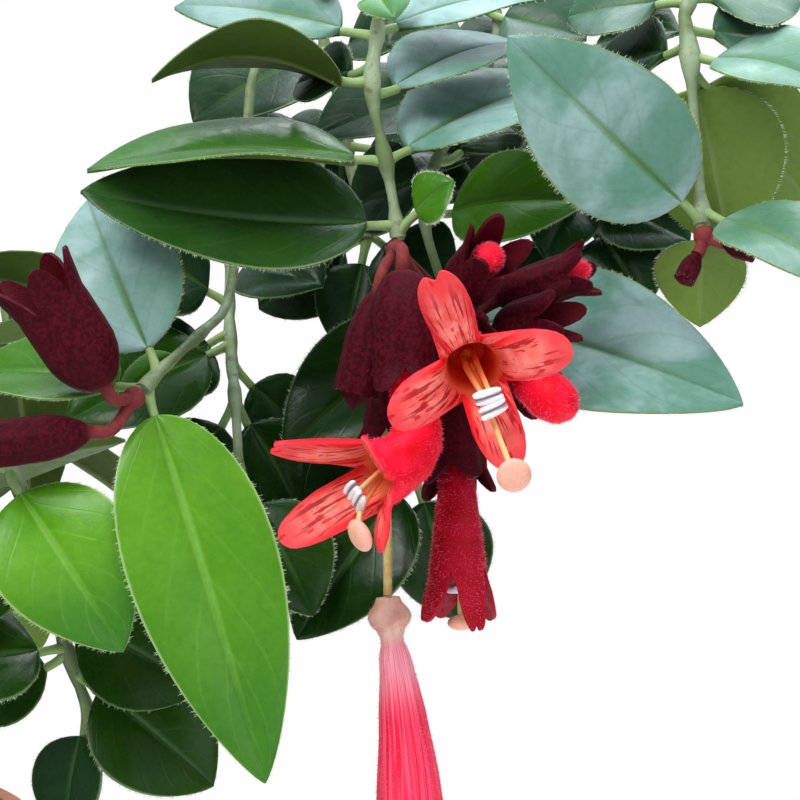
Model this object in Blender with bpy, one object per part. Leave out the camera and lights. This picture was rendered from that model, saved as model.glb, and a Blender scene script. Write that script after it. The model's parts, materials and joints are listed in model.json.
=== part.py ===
"""A lipstick plant in a plain plastic pot.

Arching leafy stems stand in holes in the potting soil. Opposite pairs of thick leaves line them,
and clusters of maroon calyces with red two-lipped flowers hang at the tips of some of them.
Metres, +Z up, origin at the middle of the pot's foot.
"""

import math
import random
from dataclasses import dataclass, field

import bmesh
import bpy
from mathutils import Quaternion, Vector
from mathutils.bvhtree import BVHTree

# Pot and soil
POT_HEIGHT = 0.105
POT_TOP_RADIUS = 0.060
POT_FOOT_RADIUS = 0.043
POT_WALL = 0.0024
POT_FLOOR = 0.003
RIM_HEIGHT = 0.013
RIM_PROUD = 0.0022
DRAIN_RADIUS = 0.004
DRAIN_RING = 0.027
DRAIN_COUNT = 4
SOIL_TOP = 0.093
SEAT_GAP = 0.0003
STEM_HOLE_DEPTH = 0.022

# Leaves and stems
LEAF_LENGTH = 0.050
LEAF_WIDTH_SHARE = 0.43
RIB_THICKNESS = 0.0014
PETIOLE_LENGTH = 0.0045
PETIOLE_RADIUS = 0.0008
STEM_FOOT_RADIUS = 0.0015
STEM_TIP_RADIUS = 0.0009
NODE_SPACING = 0.031
LEAF_CLEARANCE = 0.0006
KNOB_RADIUS = 0.0017

# The front of the plant is laid out as it is seen from here: right, up and behind a middle point
FRONT_MIDDLE = Vector((0.122, -0.036, 0.180))
FRONT_DISTANCE = 0.42
FRONT_LOOK_DOWN = math.radians(5)
LOOK = Vector((0, math.cos(FRONT_LOOK_DOWN), -math.sin(FRONT_LOOK_DOWN)))
RISE = Vector((0, math.sin(FRONT_LOOK_DOWN), math.cos(FRONT_LOOK_DOWN)))


def seen(right, up, behind):
    """The point that is seen this many millimetres right of, above and behind the front's middle."""
    spread = (FRONT_DISTANCE + behind / 1000) / FRONT_DISTANCE / 1000
    return FRONT_MIDDLE + Vector((right * spread, 0, 0)) + RISE * up * spread + LOOK * behind / 1000


def facing(right, up, away):
    """A direction given as it is seen from the front."""
    return (Vector((right, 0, 0)) + RISE * up + LOOK * away).normalized()


@dataclass
class Leaf:
    foot: Vector
    tip: Vector
    width: float
    face: Vector
    arch: float = 0.06
    fold: float = 12.0
    plain: bool = False


@dataclass
class Shoot:
    name: str
    route: list
    leaves: list = field(default_factory=list)


@dataclass
class Calyx:
    foot: Vector
    mouth: Vector
    radius: float
    lobe: float = 0.0045
    shut: bool = False


@dataclass
class Corolla:
    name: str
    route: list
    up: Vector
    radius: float
    lobes: tuple = ()
    flare: tuple = ()
    plain: bool = False
    bud: bool = False
    fallen: bool = False


@dataclass
class Stamens:
    name: str
    route: list
    anthers: Vector
    stigma: Vector


@dataclass
class Cluster:
    name: str
    knob: Vector
    calyces: list
    corollas: list
    stamens: list


def through(points, step):
    """Points a step apart along a smooth curve through the given ones."""
    ends = [points[0] * 2 - points[1], *points, points[-1] * 2 - points[-2]]
    fine = []
    for a, b, c, d in zip(ends, ends[1:], ends[2:], ends[3:]):
        for i in range(16):
            t = i / 16
            fine.append(0.5 * (2 * b + (c - a) * t + (2 * a - 5 * b + 4 * c - d) * t * t
                               + (3 * b - a - 3 * c + d) * t ** 3))
    fine.append(points[-1].copy())
    far = [0.0]
    for a, b in zip(fine, fine[1:]):
        far.append(far[-1] + (b - a).length)
    count = max(2, round(far[-1] / step))
    spaced, at = [], 0
    for i in range(count + 1):
        want = far[-1] * i / count
        while at < len(far) - 2 and far[at + 1] < want:
            at += 1
        share = (want - far[at]) / max(far[at + 1] - far[at], 1e-9)
        spaced.append(fine[at].lerp(fine[at + 1], min(share, 1.0)))
    return spaced


def frames(points, up):
    """A (tangent, up, side) frame at each point, turned as little as possible, with up at the last one."""
    tangents = [(b - a).normalized() for a, b in zip(points, points[1:])]
    tangents = [tangents[0], *[(a + b).normalized() for a, b in zip(tangents, tangents[1:])], tangents[-1]]
    upward = (up - tangents[-1] * up.dot(tangents[-1])).normalized()
    found = []
    for here, after in zip(reversed(tangents), [tangents[-1], *reversed(tangents[1:])]):
        upward = after.rotation_difference(here) @ upward
        upward = (upward - here * upward.dot(here)).normalized()
        found.append((here, upward, here.cross(upward)))
    return found[::-1]


def loft(rings):
    """Corners and triangles of the skin over rings of equally many points, capped at both ends."""
    count = len(rings[0])
    corners = [p for ring in rings for p in ring]
    faces = []
    for row in range(len(rings) - 1):
        for i in range(count):
            j = (i + 1) % count
            a, b = row * count + i, row * count + j
            c, d = b + count, a + count
            faces += [(a, b, c), (a, c, d)]
    last = (len(rings) - 1) * count
    faces += [(0, i + 1, i) for i in range(1, count - 1)]
    faces += [(last, last + i, last + i + 1) for i in range(1, count - 1)]
    return corners, faces


def leaf_outline(t):
    """Half width of a leaf as a share of its greatest, at a share t of its length."""
    return 2.56 * t ** 0.55 * (1 - t) ** 0.85


LEAF_ROWS = (0.17, 0.40, 0.66, 0.88)
PLAIN_ROWS = (0.20, 0.52, 0.84)


def leaf_solid(leaf, clear=0.0, bare=False):
    """Corners and triangles of a leaf grown on all sides by a clearance, with its petiole unless bare."""
    along = leaf.tip - leaf.foot
    length = along.length
    along.normalize()
    normal = (leaf.face - along * leaf.face.dot(along)).normalized()
    side = normal.cross(along)
    blade = leaf.foot + along * PETIOLE_LENGTH
    blade_length = length - PETIOLE_LENGTH
    lift = math.sin(math.radians(leaf.fold))

    def middle(t):
        return blade + along * (blade_length * t) + normal * (leaf.arch * blade_length * 4 * t * (1 - t))

    def row(at, half, thick, raised):
        return [at + side * half + normal * raised, at + normal * thick,
                at - side * half + normal * raised, at - normal * thick]

    stalk = PETIOLE_RADIUS + clear
    rings = []
    if not bare:
        rings = [row(leaf.foot, stalk, stalk, 0)]
    if not bare and not leaf.plain:
        rings.append(row(middle(0.01), stalk * 1.3, stalk * 0.9, 0))
    for t in PLAIN_ROWS if leaf.plain else LEAF_ROWS:
        half = leaf.width / 2 * leaf_outline(t) + clear
        thick = RIB_THICKNESS / 2 * (1.15 - 0.45 * t) + clear
        rings.append(row(middle(t), half, thick, half * lift))
    corners, faces = loft(rings)
    start = len(corners) - 4
    faces = [f for f in faces if min(f) < start]
    corners.append(leaf.tip + along * clear)
    faces += [(start + i, start + (i + 1) % 4, len(corners) - 1) for i in range(4)]
    return corners, faces


def tube(points, radii, sides, up=None):
    """Corners and triangles of a tube with a radius at each point."""
    last = (points[-1] - points[-2]).normalized()
    up = up or (Vector((0, 0, 1)) if abs(last.z) < 0.9 else Vector((1, 0, 0)))
    rings = []
    for (_, upward, across), at, r in zip(frames(points, up), points, radii):
        turns = [2 * math.pi * i / sides for i in range(sides)]
        rings.append([at + (across * math.cos(a) + upward * math.sin(a)) * r for a in turns])
    return loft(rings)


def ball(middle, axis, radius, thick, sides=8, rows=4):
    """Corners and triangles of a round or flattened ball."""
    axis = axis.normalized()
    helper = Vector((0, 0, 1)) if abs(axis.z) < 0.9 else Vector((1, 0, 0))
    across = axis.cross(helper).normalized()
    over = axis.cross(across)
    rings = []
    for k in range(rows + 1):
        a = math.pi * (0.12 + 0.76 * k / rows)
        turns = [2 * math.pi * i / sides for i in range(sides)]
        rings.append([middle - axis * (math.cos(a) * thick)
                      + (across * math.cos(b) + over * math.sin(b)) * (math.sin(a) * radius) for b in turns])
    return loft(rings)


def stem_line(shoot, step=0.022):
    """Points along a stem and its radius at each, from the bottom of its hole to its tip."""
    line = through(shoot.route, step)
    line.insert(0, line[0] - Vector((0, 0, STEM_HOLE_DEPTH)))
    radii = [STEM_FOOT_RADIUS + (STEM_TIP_RADIUS - STEM_FOOT_RADIUS) * i / (len(line) - 1)
             for i in range(len(line))]
    return line, radii


def on_line(line, point):
    """The point of a line of straight stretches that is nearest to a point."""
    best = None
    for a, b in zip(line, line[1:]):
        share = max(0.0, min(1.0, (point - a).dot(b - a) / (b - a).length_squared))
        near = a.lerp(b, share)
        if best is None or (near - point).length < (best - point).length:
            best = near
    return best


CUP_FLOOR = 0.28


def calyx_rings(knob, calyx, per_lobe, rows, wall=0.0006):
    """Rings from the knob along the pedicel, up the outside to the lobes and down the inside."""
    aim = (calyx.mouth - calyx.foot).normalized()
    length = (calyx.mouth - calyx.foot).length
    reach = (calyx.foot - knob).length
    stalk = through([knob, calyx.foot - aim * (reach * 0.4), calyx.foot], reach / 2)
    helper = Vector((0, 0, 1)) if abs(aim.z) < 0.9 else Vector((1, 0, 0))
    line = [*stalk, *[calyx.foot + aim * (length * s) for s in rows]]
    turned = frames(line, helper)
    last = turned[-1]

    def ring(at, frame, reach, peak=0.0, lean=0.0):
        _, upward, across = frame
        points = []
        for i in range(5 * per_lobe):
            a = 2 * math.pi * i / (5 * per_lobe)
            rise = 0.5 - 0.5 * math.cos(5 * a)
            out = reach + lean * rise
            points.append(at + (across * math.cos(a) + upward * math.sin(a)) * out + aim * peak * rise)
        return points

    rings = [ring(p, f, 0.0009) for p, f in zip(stalk, turned)]
    for s in rows:
        swell = calyx.radius * (0.42 + 0.58 * math.sin(math.pi * min(1.0, 0.15 + s * 0.85) / 2))
        rings.append(ring(calyx.foot + aim * (length * s), last, swell))
    if calyx.shut:
        rings.append(ring(calyx.foot + aim * length * 0.85, last, calyx.radius * 0.80))
        rings.append(ring(calyx.mouth, last, calyx.radius * 0.25))
        return rings
    rings.append(ring(calyx.mouth, last, calyx.radius, calyx.lobe, 0.0012))
    rings.append(ring(calyx.mouth, last, calyx.radius - wall, calyx.lobe, 0.0012))
    rings.append(ring(calyx.foot + aim * length * CUP_FLOOR, last, calyx.radius * 0.66 - wall))
    return rings


# The five lobes round a mouth, in degrees from the upper lip: two make the hood, then side, lower and side
LOBE_CENTRES = (-16.0, 16.0, 90.0, 180.0, 270.0)
LOBE_HALVES = (18.0, 18.0, 44.0, 42.0, 44.0)


def lobe_at(degrees):
    """Which lobe an angle from the upper lip falls in, and how far to its side, from -1 to 1."""
    for k, (centre, half) in enumerate(zip(LOBE_CENTRES, LOBE_HALVES)):
        off = (degrees - centre + 180) % 360 - 180
        if abs(off) <= half + 1e-6:
            return k, off / half
    return 3, 1.0


def corolla_angles(per_lobe):
    """Angles round the mouth: each lobe's edge and points between its edges."""
    found = []
    for centre, half in zip(LOBE_CENTRES, LOBE_HALVES):
        found += [(centre - half + 2 * half * i / per_lobe) % 360 for i in range(per_lobe)]
    return sorted(found)


def corolla_width(corolla, s):
    """Radius of a corolla's tube at a share of its length."""
    if corolla.fallen:
        bulb = 0.0034 * math.exp(-((s - 0.06) / 0.06) ** 2)
        return max(bulb, 0.0018) + (corolla.radius - 0.0018) * max(0.0, (s - 0.14) / 0.86) ** 0.8
    return 0.0018 + (corolla.radius - 0.0018) * s ** 1.3


def corolla_rings(corolla, per_lobe, tube_rows, lobe_rows, depth_rows, wall=0.0006):
    """Rings up the outside of the tube, over the lobes and down into the throat."""
    line = through(corolla.route, 0.001)
    turned = frames(line, corolla.up)
    angles = corolla_angles(per_lobe)

    def tube_ring(s, less=0.0):
        i = round(s * (len(line) - 1))
        _, upward, across = turned[i]
        r = corolla_width(corolla, s) - less
        return [line[i] + (upward * math.cos(math.radians(a)) + across * math.sin(math.radians(a))) * r
                for a in angles]

    def lobe_ring(share, inside):
        at = line[-1]
        along, upward, across = turned[-1]
        ring = []
        for a in angles:
            k, off = lobe_at(a)
            out = upward * math.cos(math.radians(a)) + across * math.sin(math.radians(a))
            lean = math.radians(0 if k < 2 else LOBE_CENTRES[k])
            toward = (upward * math.cos(lean) + across * math.sin(lean)) * 0.65 + out * 0.35
            if k < 2:
                span = abs((a + 180) % 360 - 180) / 34
                reach = max(0.0, 1 - min(1.0, span) ** 2.6) ** 0.6 * (1 - 0.12 * math.exp(-(span / 0.14) ** 2))
            else:
                reach = max(0.0, 1 - abs(off) ** 2.2) ** 0.6
            reach = 0.0008 + corolla.lobes[k] * reach
            flare = math.radians(corolla.flare[k])
            radial, axial = 0.0, 0.0
            for i in range(8):
                turn = flare * (share * (i + 0.5) / 8) ** 0.7
                radial += math.sin(turn) * reach * share / 8
                axial += math.cos(turn) * reach * share / 8
            turn = flare * share ** 0.7
            shift = (toward * math.cos(turn) - along * math.sin(turn)) * (wall if inside else 0.0)
            ring.append(at + out * corolla_width(corolla, 1.0) + toward * radial + along * axial - shift)
        return ring

    rings = [tube_ring(s) for s in tube_rows]
    rings += [lobe_ring(share, False) for share in lobe_rows]
    rings += [lobe_ring(share, True) for share in reversed(lobe_rows)]
    rings += [tube_ring(s, wall) for s in depth_rows]
    return rings


def bud_rings(corolla, sides, rows):
    """Rings of a closed bud that swells to its end."""
    line = through(corolla.route, 0.0005)
    turned = frames(line, corolla.up)
    rings = []
    for s in rows:
        i = round(s * (len(line) - 1))
        end = math.sqrt(max(0.04, 1 - max(0.0, (s - 0.70) / 0.31) ** 2))
        r = corolla.radius * min(1.0, 0.45 + 0.75 * s) * end
        _, upward, across = turned[i]
        turns = [2 * math.pi * k / sides for k in range(sides)]
        rings.append([line[i] + (upward * math.cos(a) + across * math.sin(a)) * r for a in turns])
    return rings


def in_cup(calyx):
    """The first two points of a corolla's route: just over the floor of its calyx, and at its mouth."""
    aim = calyx.mouth - calyx.foot
    return [calyx.foot + aim * CUP_FLOOR + aim.normalized() * SEAT_GAP, calyx.mouth.copy()]


def in_throat(corolla, share):
    """Points up the axis of a throat from just over its floor to the mouth, and its last frame."""
    line = through(corolla.route, 0.001)
    first = round(share * (len(line) - 1))
    last = len(line) - 1
    points = [line[first], line[(2 * first + last) // 3], line[(first + 2 * last) // 3], line[last]]
    points[0] = points[0] + (line[first + 1] - line[first]).normalized() * (SEAT_GAP + 0.0010)
    return points, frames(line, corolla.up)[-1]


THROAT_FLOOR = 0.60


def front_shoots():
    """The eight stems at the front right, leaf by leaf."""
    def leaf(foot, tip, width, face, arch=0.06, fold=12.0, plain=False):
        return Leaf(seen(*foot), seen(*tip), width / 1000, facing(*face), arch, fold, plain)

    hanging = Shoot("shoot_front_hanging", [
        Vector((0.024, -0.010, SOIL_TOP)), Vector((0.030, -0.016, 0.160)), Vector((0.038, -0.024, 0.232)),
        Vector((0.062, -0.032, 0.265)), Vector((0.092, -0.036, 0.267)), seen(-4.6, 66, 4),
        seen(-3.3, 57, 2), seen(-4.2, 49.5, 0), seen(-3.9, 44, 0), seen(-2.2, 36, 0), seen(-0.9, 29, 1),
        seen(-0.3, 24.4, 1)])
    hanging.leaves = [
        leaf((-4.4, 47.6, 0), (-37.3, 47.8, -3), 21, (0.12, 0.93, 0.20), 0.16, 8),
        leaf((-3.9, 45.5, 0), (19.0, 53.0, 16), 17, (-0.25, 0.75, -0.6), 0.08),
        leaf((-2.3, 36.2, 0), (-47.0, 34.3, -4), 24, (0.05, 0.93, -0.33), 0.05),
        leaf((-2.2, 36.0, 0), (26.0, 47.5, 16), 22, (-0.25, 0.75, -0.6), 0.06),
        leaf((-0.5, 25.8, 1), (-48.0, 31.2, -5), 23.5, (0.0, 0.62, -0.78), -0.05, 14),
        leaf((-0.4, 25.4, 1), (8.2, 32.8, -4), 9.0, (-0.5, 0.35, -0.8), 0.03),
        leaf((-3.6, 54.6, 2), (-34.0, 59.0, 6), 20, (0.0, 0.80, -0.60), 0.05),
        leaf((-3.6, 55.0, 2), (23.5, 60.5, 12), 19, (-0.1, 0.85, -0.5), 0.06, plain=True),
        leaf((-4.2, 63.0, 3), (-0.8, 57.0, -4), 8.5, (0.0, 0.6, -0.75), 0.03, plain=True),
        leaf((-3.9, 49.5, 0.5), (-15.5, 47.0, 12), 12, (0.0, 0.5, -0.85), 0.05, plain=True),
        leaf((-4.5, 64.0, 3.5), (-12.0, 62.5, 14), 9, (0.0, 0.5, -0.85), 0.05, plain=True)]

    middle = Shoot("shoot_front_middle", [
        Vector((0.032, 0.004, SOIL_TOP)), Vector((0.036, 0.006, 0.160)), Vector((0.044, 0.006, 0.236)),
        Vector((0.072, 0.002, 0.272)), Vector((0.108, -0.002, 0.270)), seen(13, 62, 34),
        seen(11.5, 46, 32), seen(5.5, 36, 30),
        seen(3.6, 28, 28), seen(5.8, 19, 24), seen(9, 11, 22), seen(5, -3, 22), seen(2, -12, 20)])
    middle.leaves = [
        leaf((3.6, 27.8, 28), (28.0, 29.6, 17), 17.5, (-0.2, 0.5, -0.85), 0.08),
        leaf((9.3, 15.4, 17), (52.0, -0.8, 7), 27.5, (0.22, 0.52, -0.82), 0.05, 10),
        leaf((9.0, 14.0, 17), (-17.5, -8.0, 16), 20, (-0.3, 0.25, -0.9), 0.05),
        leaf((2.3, -10.5, 17), (-15.5, -36.0, 17), 19, (-0.2, 0.2, -0.95), 0.05),
        leaf((2.0, -11.0, 17), (8.5, -33.0, 22), 17, (0.2, 0.2, -0.95), 0.05),
        leaf((11.8, 47.0, 32), (-13.0, 39.0, 27), 20, (0.0, 0.75, -0.6), 0.05),
        leaf((11.6, 46.0, 32), (34.0, 37.0, 34), 20, (0.1, 0.7, -0.7), 0.05),
        leaf((12.8, 58.0, 33.6), (28.0, 54.0, 28), 19, (0.0, 0.6, -0.8), 0.05, plain=True),
        leaf((12.8, 58.5, 33.6), (-2.0, 53.0, 30), 19, (0.0, 0.6, -0.8), 0.05, plain=True),
        leaf((5.2, 35.6, 30), (14.0, 43.5, 36), 17, (0.0, 0.5, -0.85), 0.05, plain=True),
        leaf((5.0, 35.0, 30), (-8.0, 28.0, 38), 18, (0.0, 0.5, -0.85), 0.05, plain=True),
        leaf((5.6, -1.0, 21.6), (-14.5, -17.5, 25), 15, (-0.2, 0.3, -0.9), 0.05, plain=True)]

    right = Shoot("shoot_front_right", [
        Vector((0.030, 0.020, SOIL_TOP)), Vector((0.032, 0.022, 0.160)), Vector((0.042, 0.022, 0.240)),
        Vector((0.078, 0.012, 0.277)), Vector((0.126, -0.008, 0.276)), seen(40.5, 68, 12), seen(42.7, 57, 8), seen(43.5, 51.8, 6),
        seen(43.8, 46.5, 5), seen(44.7, 36, 5), seen(45.3, 26.3, 3)])
    right.leaves = [
        leaf((43.5, 52.0, 6), (66.0, 45.5, -4), 19, (0.1, 0.8, -0.6), 0.10),
        leaf((43.6, 51.0, 6), (49.5, 22.0, 17), 23, (0.25, -0.15, 0.95), 0.03),
        leaf((43.7, 49.5, 6), (63.0, 29.0, 20), 20, (0.3, -0.05, 0.9), 0.04),
        leaf((42.3, 60.0, 9), (25.0, 57.0, 16), 19, (-0.1, 0.7, -0.7), 0.06),
        leaf((42.3, 60.5, 9), (60.0, 59.5, 14), 19, (0.1, 0.7, -0.7), 0.06),
        leaf((45.25, 26.9, 3), (16.2, 54.6, -8), 22.5, (-0.45, 0.22, -0.86), 0.05, 9),
        leaf((45.25, 28.6, 3), (67.5, 16.0, -8), 18, (0.15, 0.72, -0.68), 0.08),
        leaf((45.2, 28.2, 3), (45.2, 11.0, 8), 14, (0.1, 0.15, 0.95), 0.04),
        leaf((43.4, 53.0, 6.4), (28.0, 48.0, 21), 17, (0.0, 0.6, -0.8), 0.05, plain=True),
        leaf((43.0, 55.5, 7.4), (59.0, 53.5, 14), 14, (0.0, 0.6, -0.8), 0.05, plain=True)]

    hooked = Shoot("shoot_front_hooked", [
        Vector((0.040, -0.014, SOIL_TOP)), Vector((0.040, -0.008, 0.160)), Vector((0.046, -0.002, 0.230)),
        Vector((0.066, 0.000, 0.257)), seen(-21.5, 62, 34), seen(-22.5, 46, 33), seen(-24.0, 28, 25),
        seen(-25.8, 15, 15), seen(-29.3, 10.5, 8),
        seen(-34.8, 5.6, 0), seen(-38.7, 1.4, -6)])
    hooked.leaves = [
        leaf((-38.3, 2.2, -5.2), (-20.2, -57.6, -13), 22.5, (0.18, 0.10, -0.95), 0.04, 9),
        leaf((-38.5, 2.0, -5.4), (-68.0, 3.0, -2), 22, (0.05, 0.85, -0.5), 0.06),
        leaf((-30.5, 9.3, 6.6), (-42.5, -0.5, 1), 9.5, (-0.75, 0.35, -0.5), 0.03),
        leaf((-36.5, 3.3, -1.5), (-46.8, 30.0, 10), 21, (-0.25, 0.25, -0.93), 0.05, 14)]

    plumb = Shoot("shoot_front_plumb", [
        Vector((0.040, 0.012, SOIL_TOP)), Vector((0.041, 0.016, 0.160)), Vector((0.048, 0.018, 0.232)),
        Vector((0.068, 0.017, 0.262)), seen(-19.5, 60, 66), seen(-24.0, 40, 62), seen(-25.6, 16, 40),
        seen(-24.6, -2, 20),
        seen(-24.0, -13, 15)])
    plumb.leaves = [
        leaf((-24.6, 1.2, 21.5), (-15.6, -18.0, 18), 15, (0.5, 0.2, -0.8), 0.05),
        leaf((-24.1, -12.0, 15), (-13.0, -32.5, 10), 17, (0.4, 0.1, -0.9), 0.05),
        leaf((-24.2, -12.0, 15), (-37.0, -35.0, 12), 18, (-0.3, 0.1, -0.95), 0.05),
        leaf((-25.9, 18.5, 34), (-45.0, 24.0, 30), 20, (-0.1, 0.6, -0.8), 0.06),
        leaf((-24.2, 39.5, 62), (-9.0, 33.0, 62), 20, (0.1, 0.6, -0.8), 0.06),
        leaf((-24.7, 0.8, 21.5), (-35.5, -19.5, 24), 18, (-0.3, 0.15, -0.95), 0.05, plain=True),
        leaf((-25.3, 12.4, 31.5), (-38.0, 2.5, 30), 17, (-0.2, 0.3, -0.9), 0.05, plain=True),
        leaf((-26.6, 27.0, 39), (-11.5, 17.0, 34), 18, (0.1, 0.5, -0.85), 0.05, plain=True),
        leaf((-25.0, 5.5, 27), (-14.5, -6.0, 28), 12, (0.1, 0.4, -0.9), 0.05, plain=True),
        leaf((-25.4, 9.5, 30), (-50.0, -3.5, 26), 18, (-0.1, 0.4, -0.9), 0.05, plain=True)]

    low = Shoot("shoot_front_low", [
        Vector((0.036, -0.029, SOIL_TOP)), Vector((0.043, -0.040, 0.132)), Vector((0.050, -0.046, 0.158)),
        Vector((0.0590, -0.047, 0.174)), seen(-58.5, -9.5, -6), seen(-55.5, -17, -4), seen(-53, -28, 2),
        seen(-49.5, -39, 6), seen(-46.5, -47, 8)])
    low.leaves = [
        leaf((-58.3, -10.0, -6), (-41.5, -37.8, -13), 21, (0.10, 0.20, -0.95), 0.06, 10),
        leaf((-58.6, -10.0, -6), (-86.0, -4.0, -4), 20, (-0.1, 0.8, -0.5), 0.06),
        leaf((-50.5, -37.0, 5), (-75.0, -42.5, -2), 20, (-0.1, 0.66, -0.72), 0.06),
        leaf((-48.5, -40.6, 6.5), (-28.0, -58.0, 10), 21, (0.4, 0.25, -0.85), 0.05),
        leaf((-46.9, -46.0, 7.8), (-50.0, -66.0, 4), 15, (-0.6, 0.1, -0.75), 0.05),
        leaf((-51.8, -31.0, 3.2), (-29.5, -43.0, 15), 20, (0.2, 0.35, -0.9), 0.05, plain=True),
        leaf((-52.6, -29.0, 2.4), (-78.0, -28.0, 6), 19, (-0.1, 0.6, -0.8), 0.05, plain=True),
        leaf((-50.0, -38.3, 5.6), (-66.0, -46.5, 10), 14, (-0.1, 0.4, -0.9), 0.05, plain=True)]

    back = Shoot("shoot_back_left", [
        Vector((0.022, 0.030, SOIL_TOP)), Vector((0.026, 0.034, 0.170)), Vector((0.038, 0.034, 0.245)),
        Vector((0.074, 0.026, 0.277)), seen(-16, 64, 54), seen(-11, 52, 54), seen(-8, 38, 50),
        seen(-5, 24, 44)])
    back.leaves = [
        leaf((-11, 52, 54), (-31.0, 41.5, 40), 24, (-0.2, 0.62, -0.75), 0.05),
        leaf((-11, 51.5, 54), (8.0, 58.0, 44), 20, (0.1, 0.7, -0.7), 0.06),
        leaf((-8, 39, 50), (-27.0, 32.0, 46), 20, (-0.1, 0.6, -0.8), 0.06),
        leaf((-8, 38, 50), (10.5, 36.0, 42), 20, (0.1, 0.6, -0.8), 0.06),
        leaf((-5.4, 26, 45), (-22.0, 22.5, 40), 18, (-0.1, 0.5, -0.85), 0.05),
        leaf((-5.2, 25.2, 44.6), (7.5, 16.0, 38), 17, (0.1, 0.4, -0.9), 0.05),
        leaf((-8.6, 41.0, 51), (-9.5, 23.0, 43), 21, (0.0, 0.3, -0.95), 0.05, plain=True),
        leaf((-5.2, 24.8, 44.6), (-21.5, 13.8, 40), 18, (-0.1, 0.4, -0.9), 0.05, plain=True),
        leaf((-5.0, 23.8, 44.0), (-8.5, 7.0, 40), 13, (0.0, 0.3, -0.95), 0.05, plain=True),
        leaf((-7.0, 34.0, 48.6), (12.5, 31.0, 42), 14, (0.1, 0.5, -0.85), 0.05, plain=True)]

    far = Shoot("shoot_back_right", [
        Vector((0.026, 0.040, SOIL_TOP)), Vector((0.030, 0.044, 0.175)), Vector((0.046, 0.044, 0.252)),
        Vector((0.092, 0.034, 0.284)), seen(22, 66, 62), seen(25, 52, 60), seen(27, 38, 54),
        seen(28, 25, 48)])
    far.leaves = [
        leaf((25, 52.5, 60), (7.0, 49.0, 50), 21, (-0.1, 0.7, -0.7), 0.06),
        leaf((25, 52, 60), (42.0, 55.0, 48), 20, (0.1, 0.7, -0.7), 0.06),
        leaf((27, 39, 54.5), (10.0, 28.0, 46), 20, (-0.2, 0.5, -0.85), 0.06),
        leaf((27, 38.4, 54), (44.0, 31.0, 44), 20, (0.2, 0.5, -0.85), 0.06),
        leaf((28, 27, 49), (37.0, 14.0, 40), 18, (0.2, 0.3, -0.9), 0.05),
        leaf((28, 26.4, 48.6), (20.0, 10.0, 40), 18, (-0.2, 0.3, -0.9), 0.05),
        leaf((24.0, 57.0, 61), (41.0, 66.0, 52), 22, (0.1, 0.6, -0.8), 0.05, plain=True),
        leaf((23.6, 58.5, 61.3), (7.0, 66.0, 52), 20, (-0.1, 0.6, -0.8), 0.05, plain=True),
        leaf((27.6, 31.5, 51.0), (43.5, 23.5, 44), 18, (0.1, 0.5, -0.85), 0.05, plain=True),
        leaf((27.0, 37.4, 53.6), (12.0, 38.0, 47), 19, (-0.1, 0.5, -0.85), 0.05, plain=True),
        leaf((27.5, 33.0, 52.0), (21.5, 21.0, 46), 13, (0.0, 0.4, -0.9), 0.05, plain=True)]
    return [hanging, middle, right, hooked, plumb, low, back, far]


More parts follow.
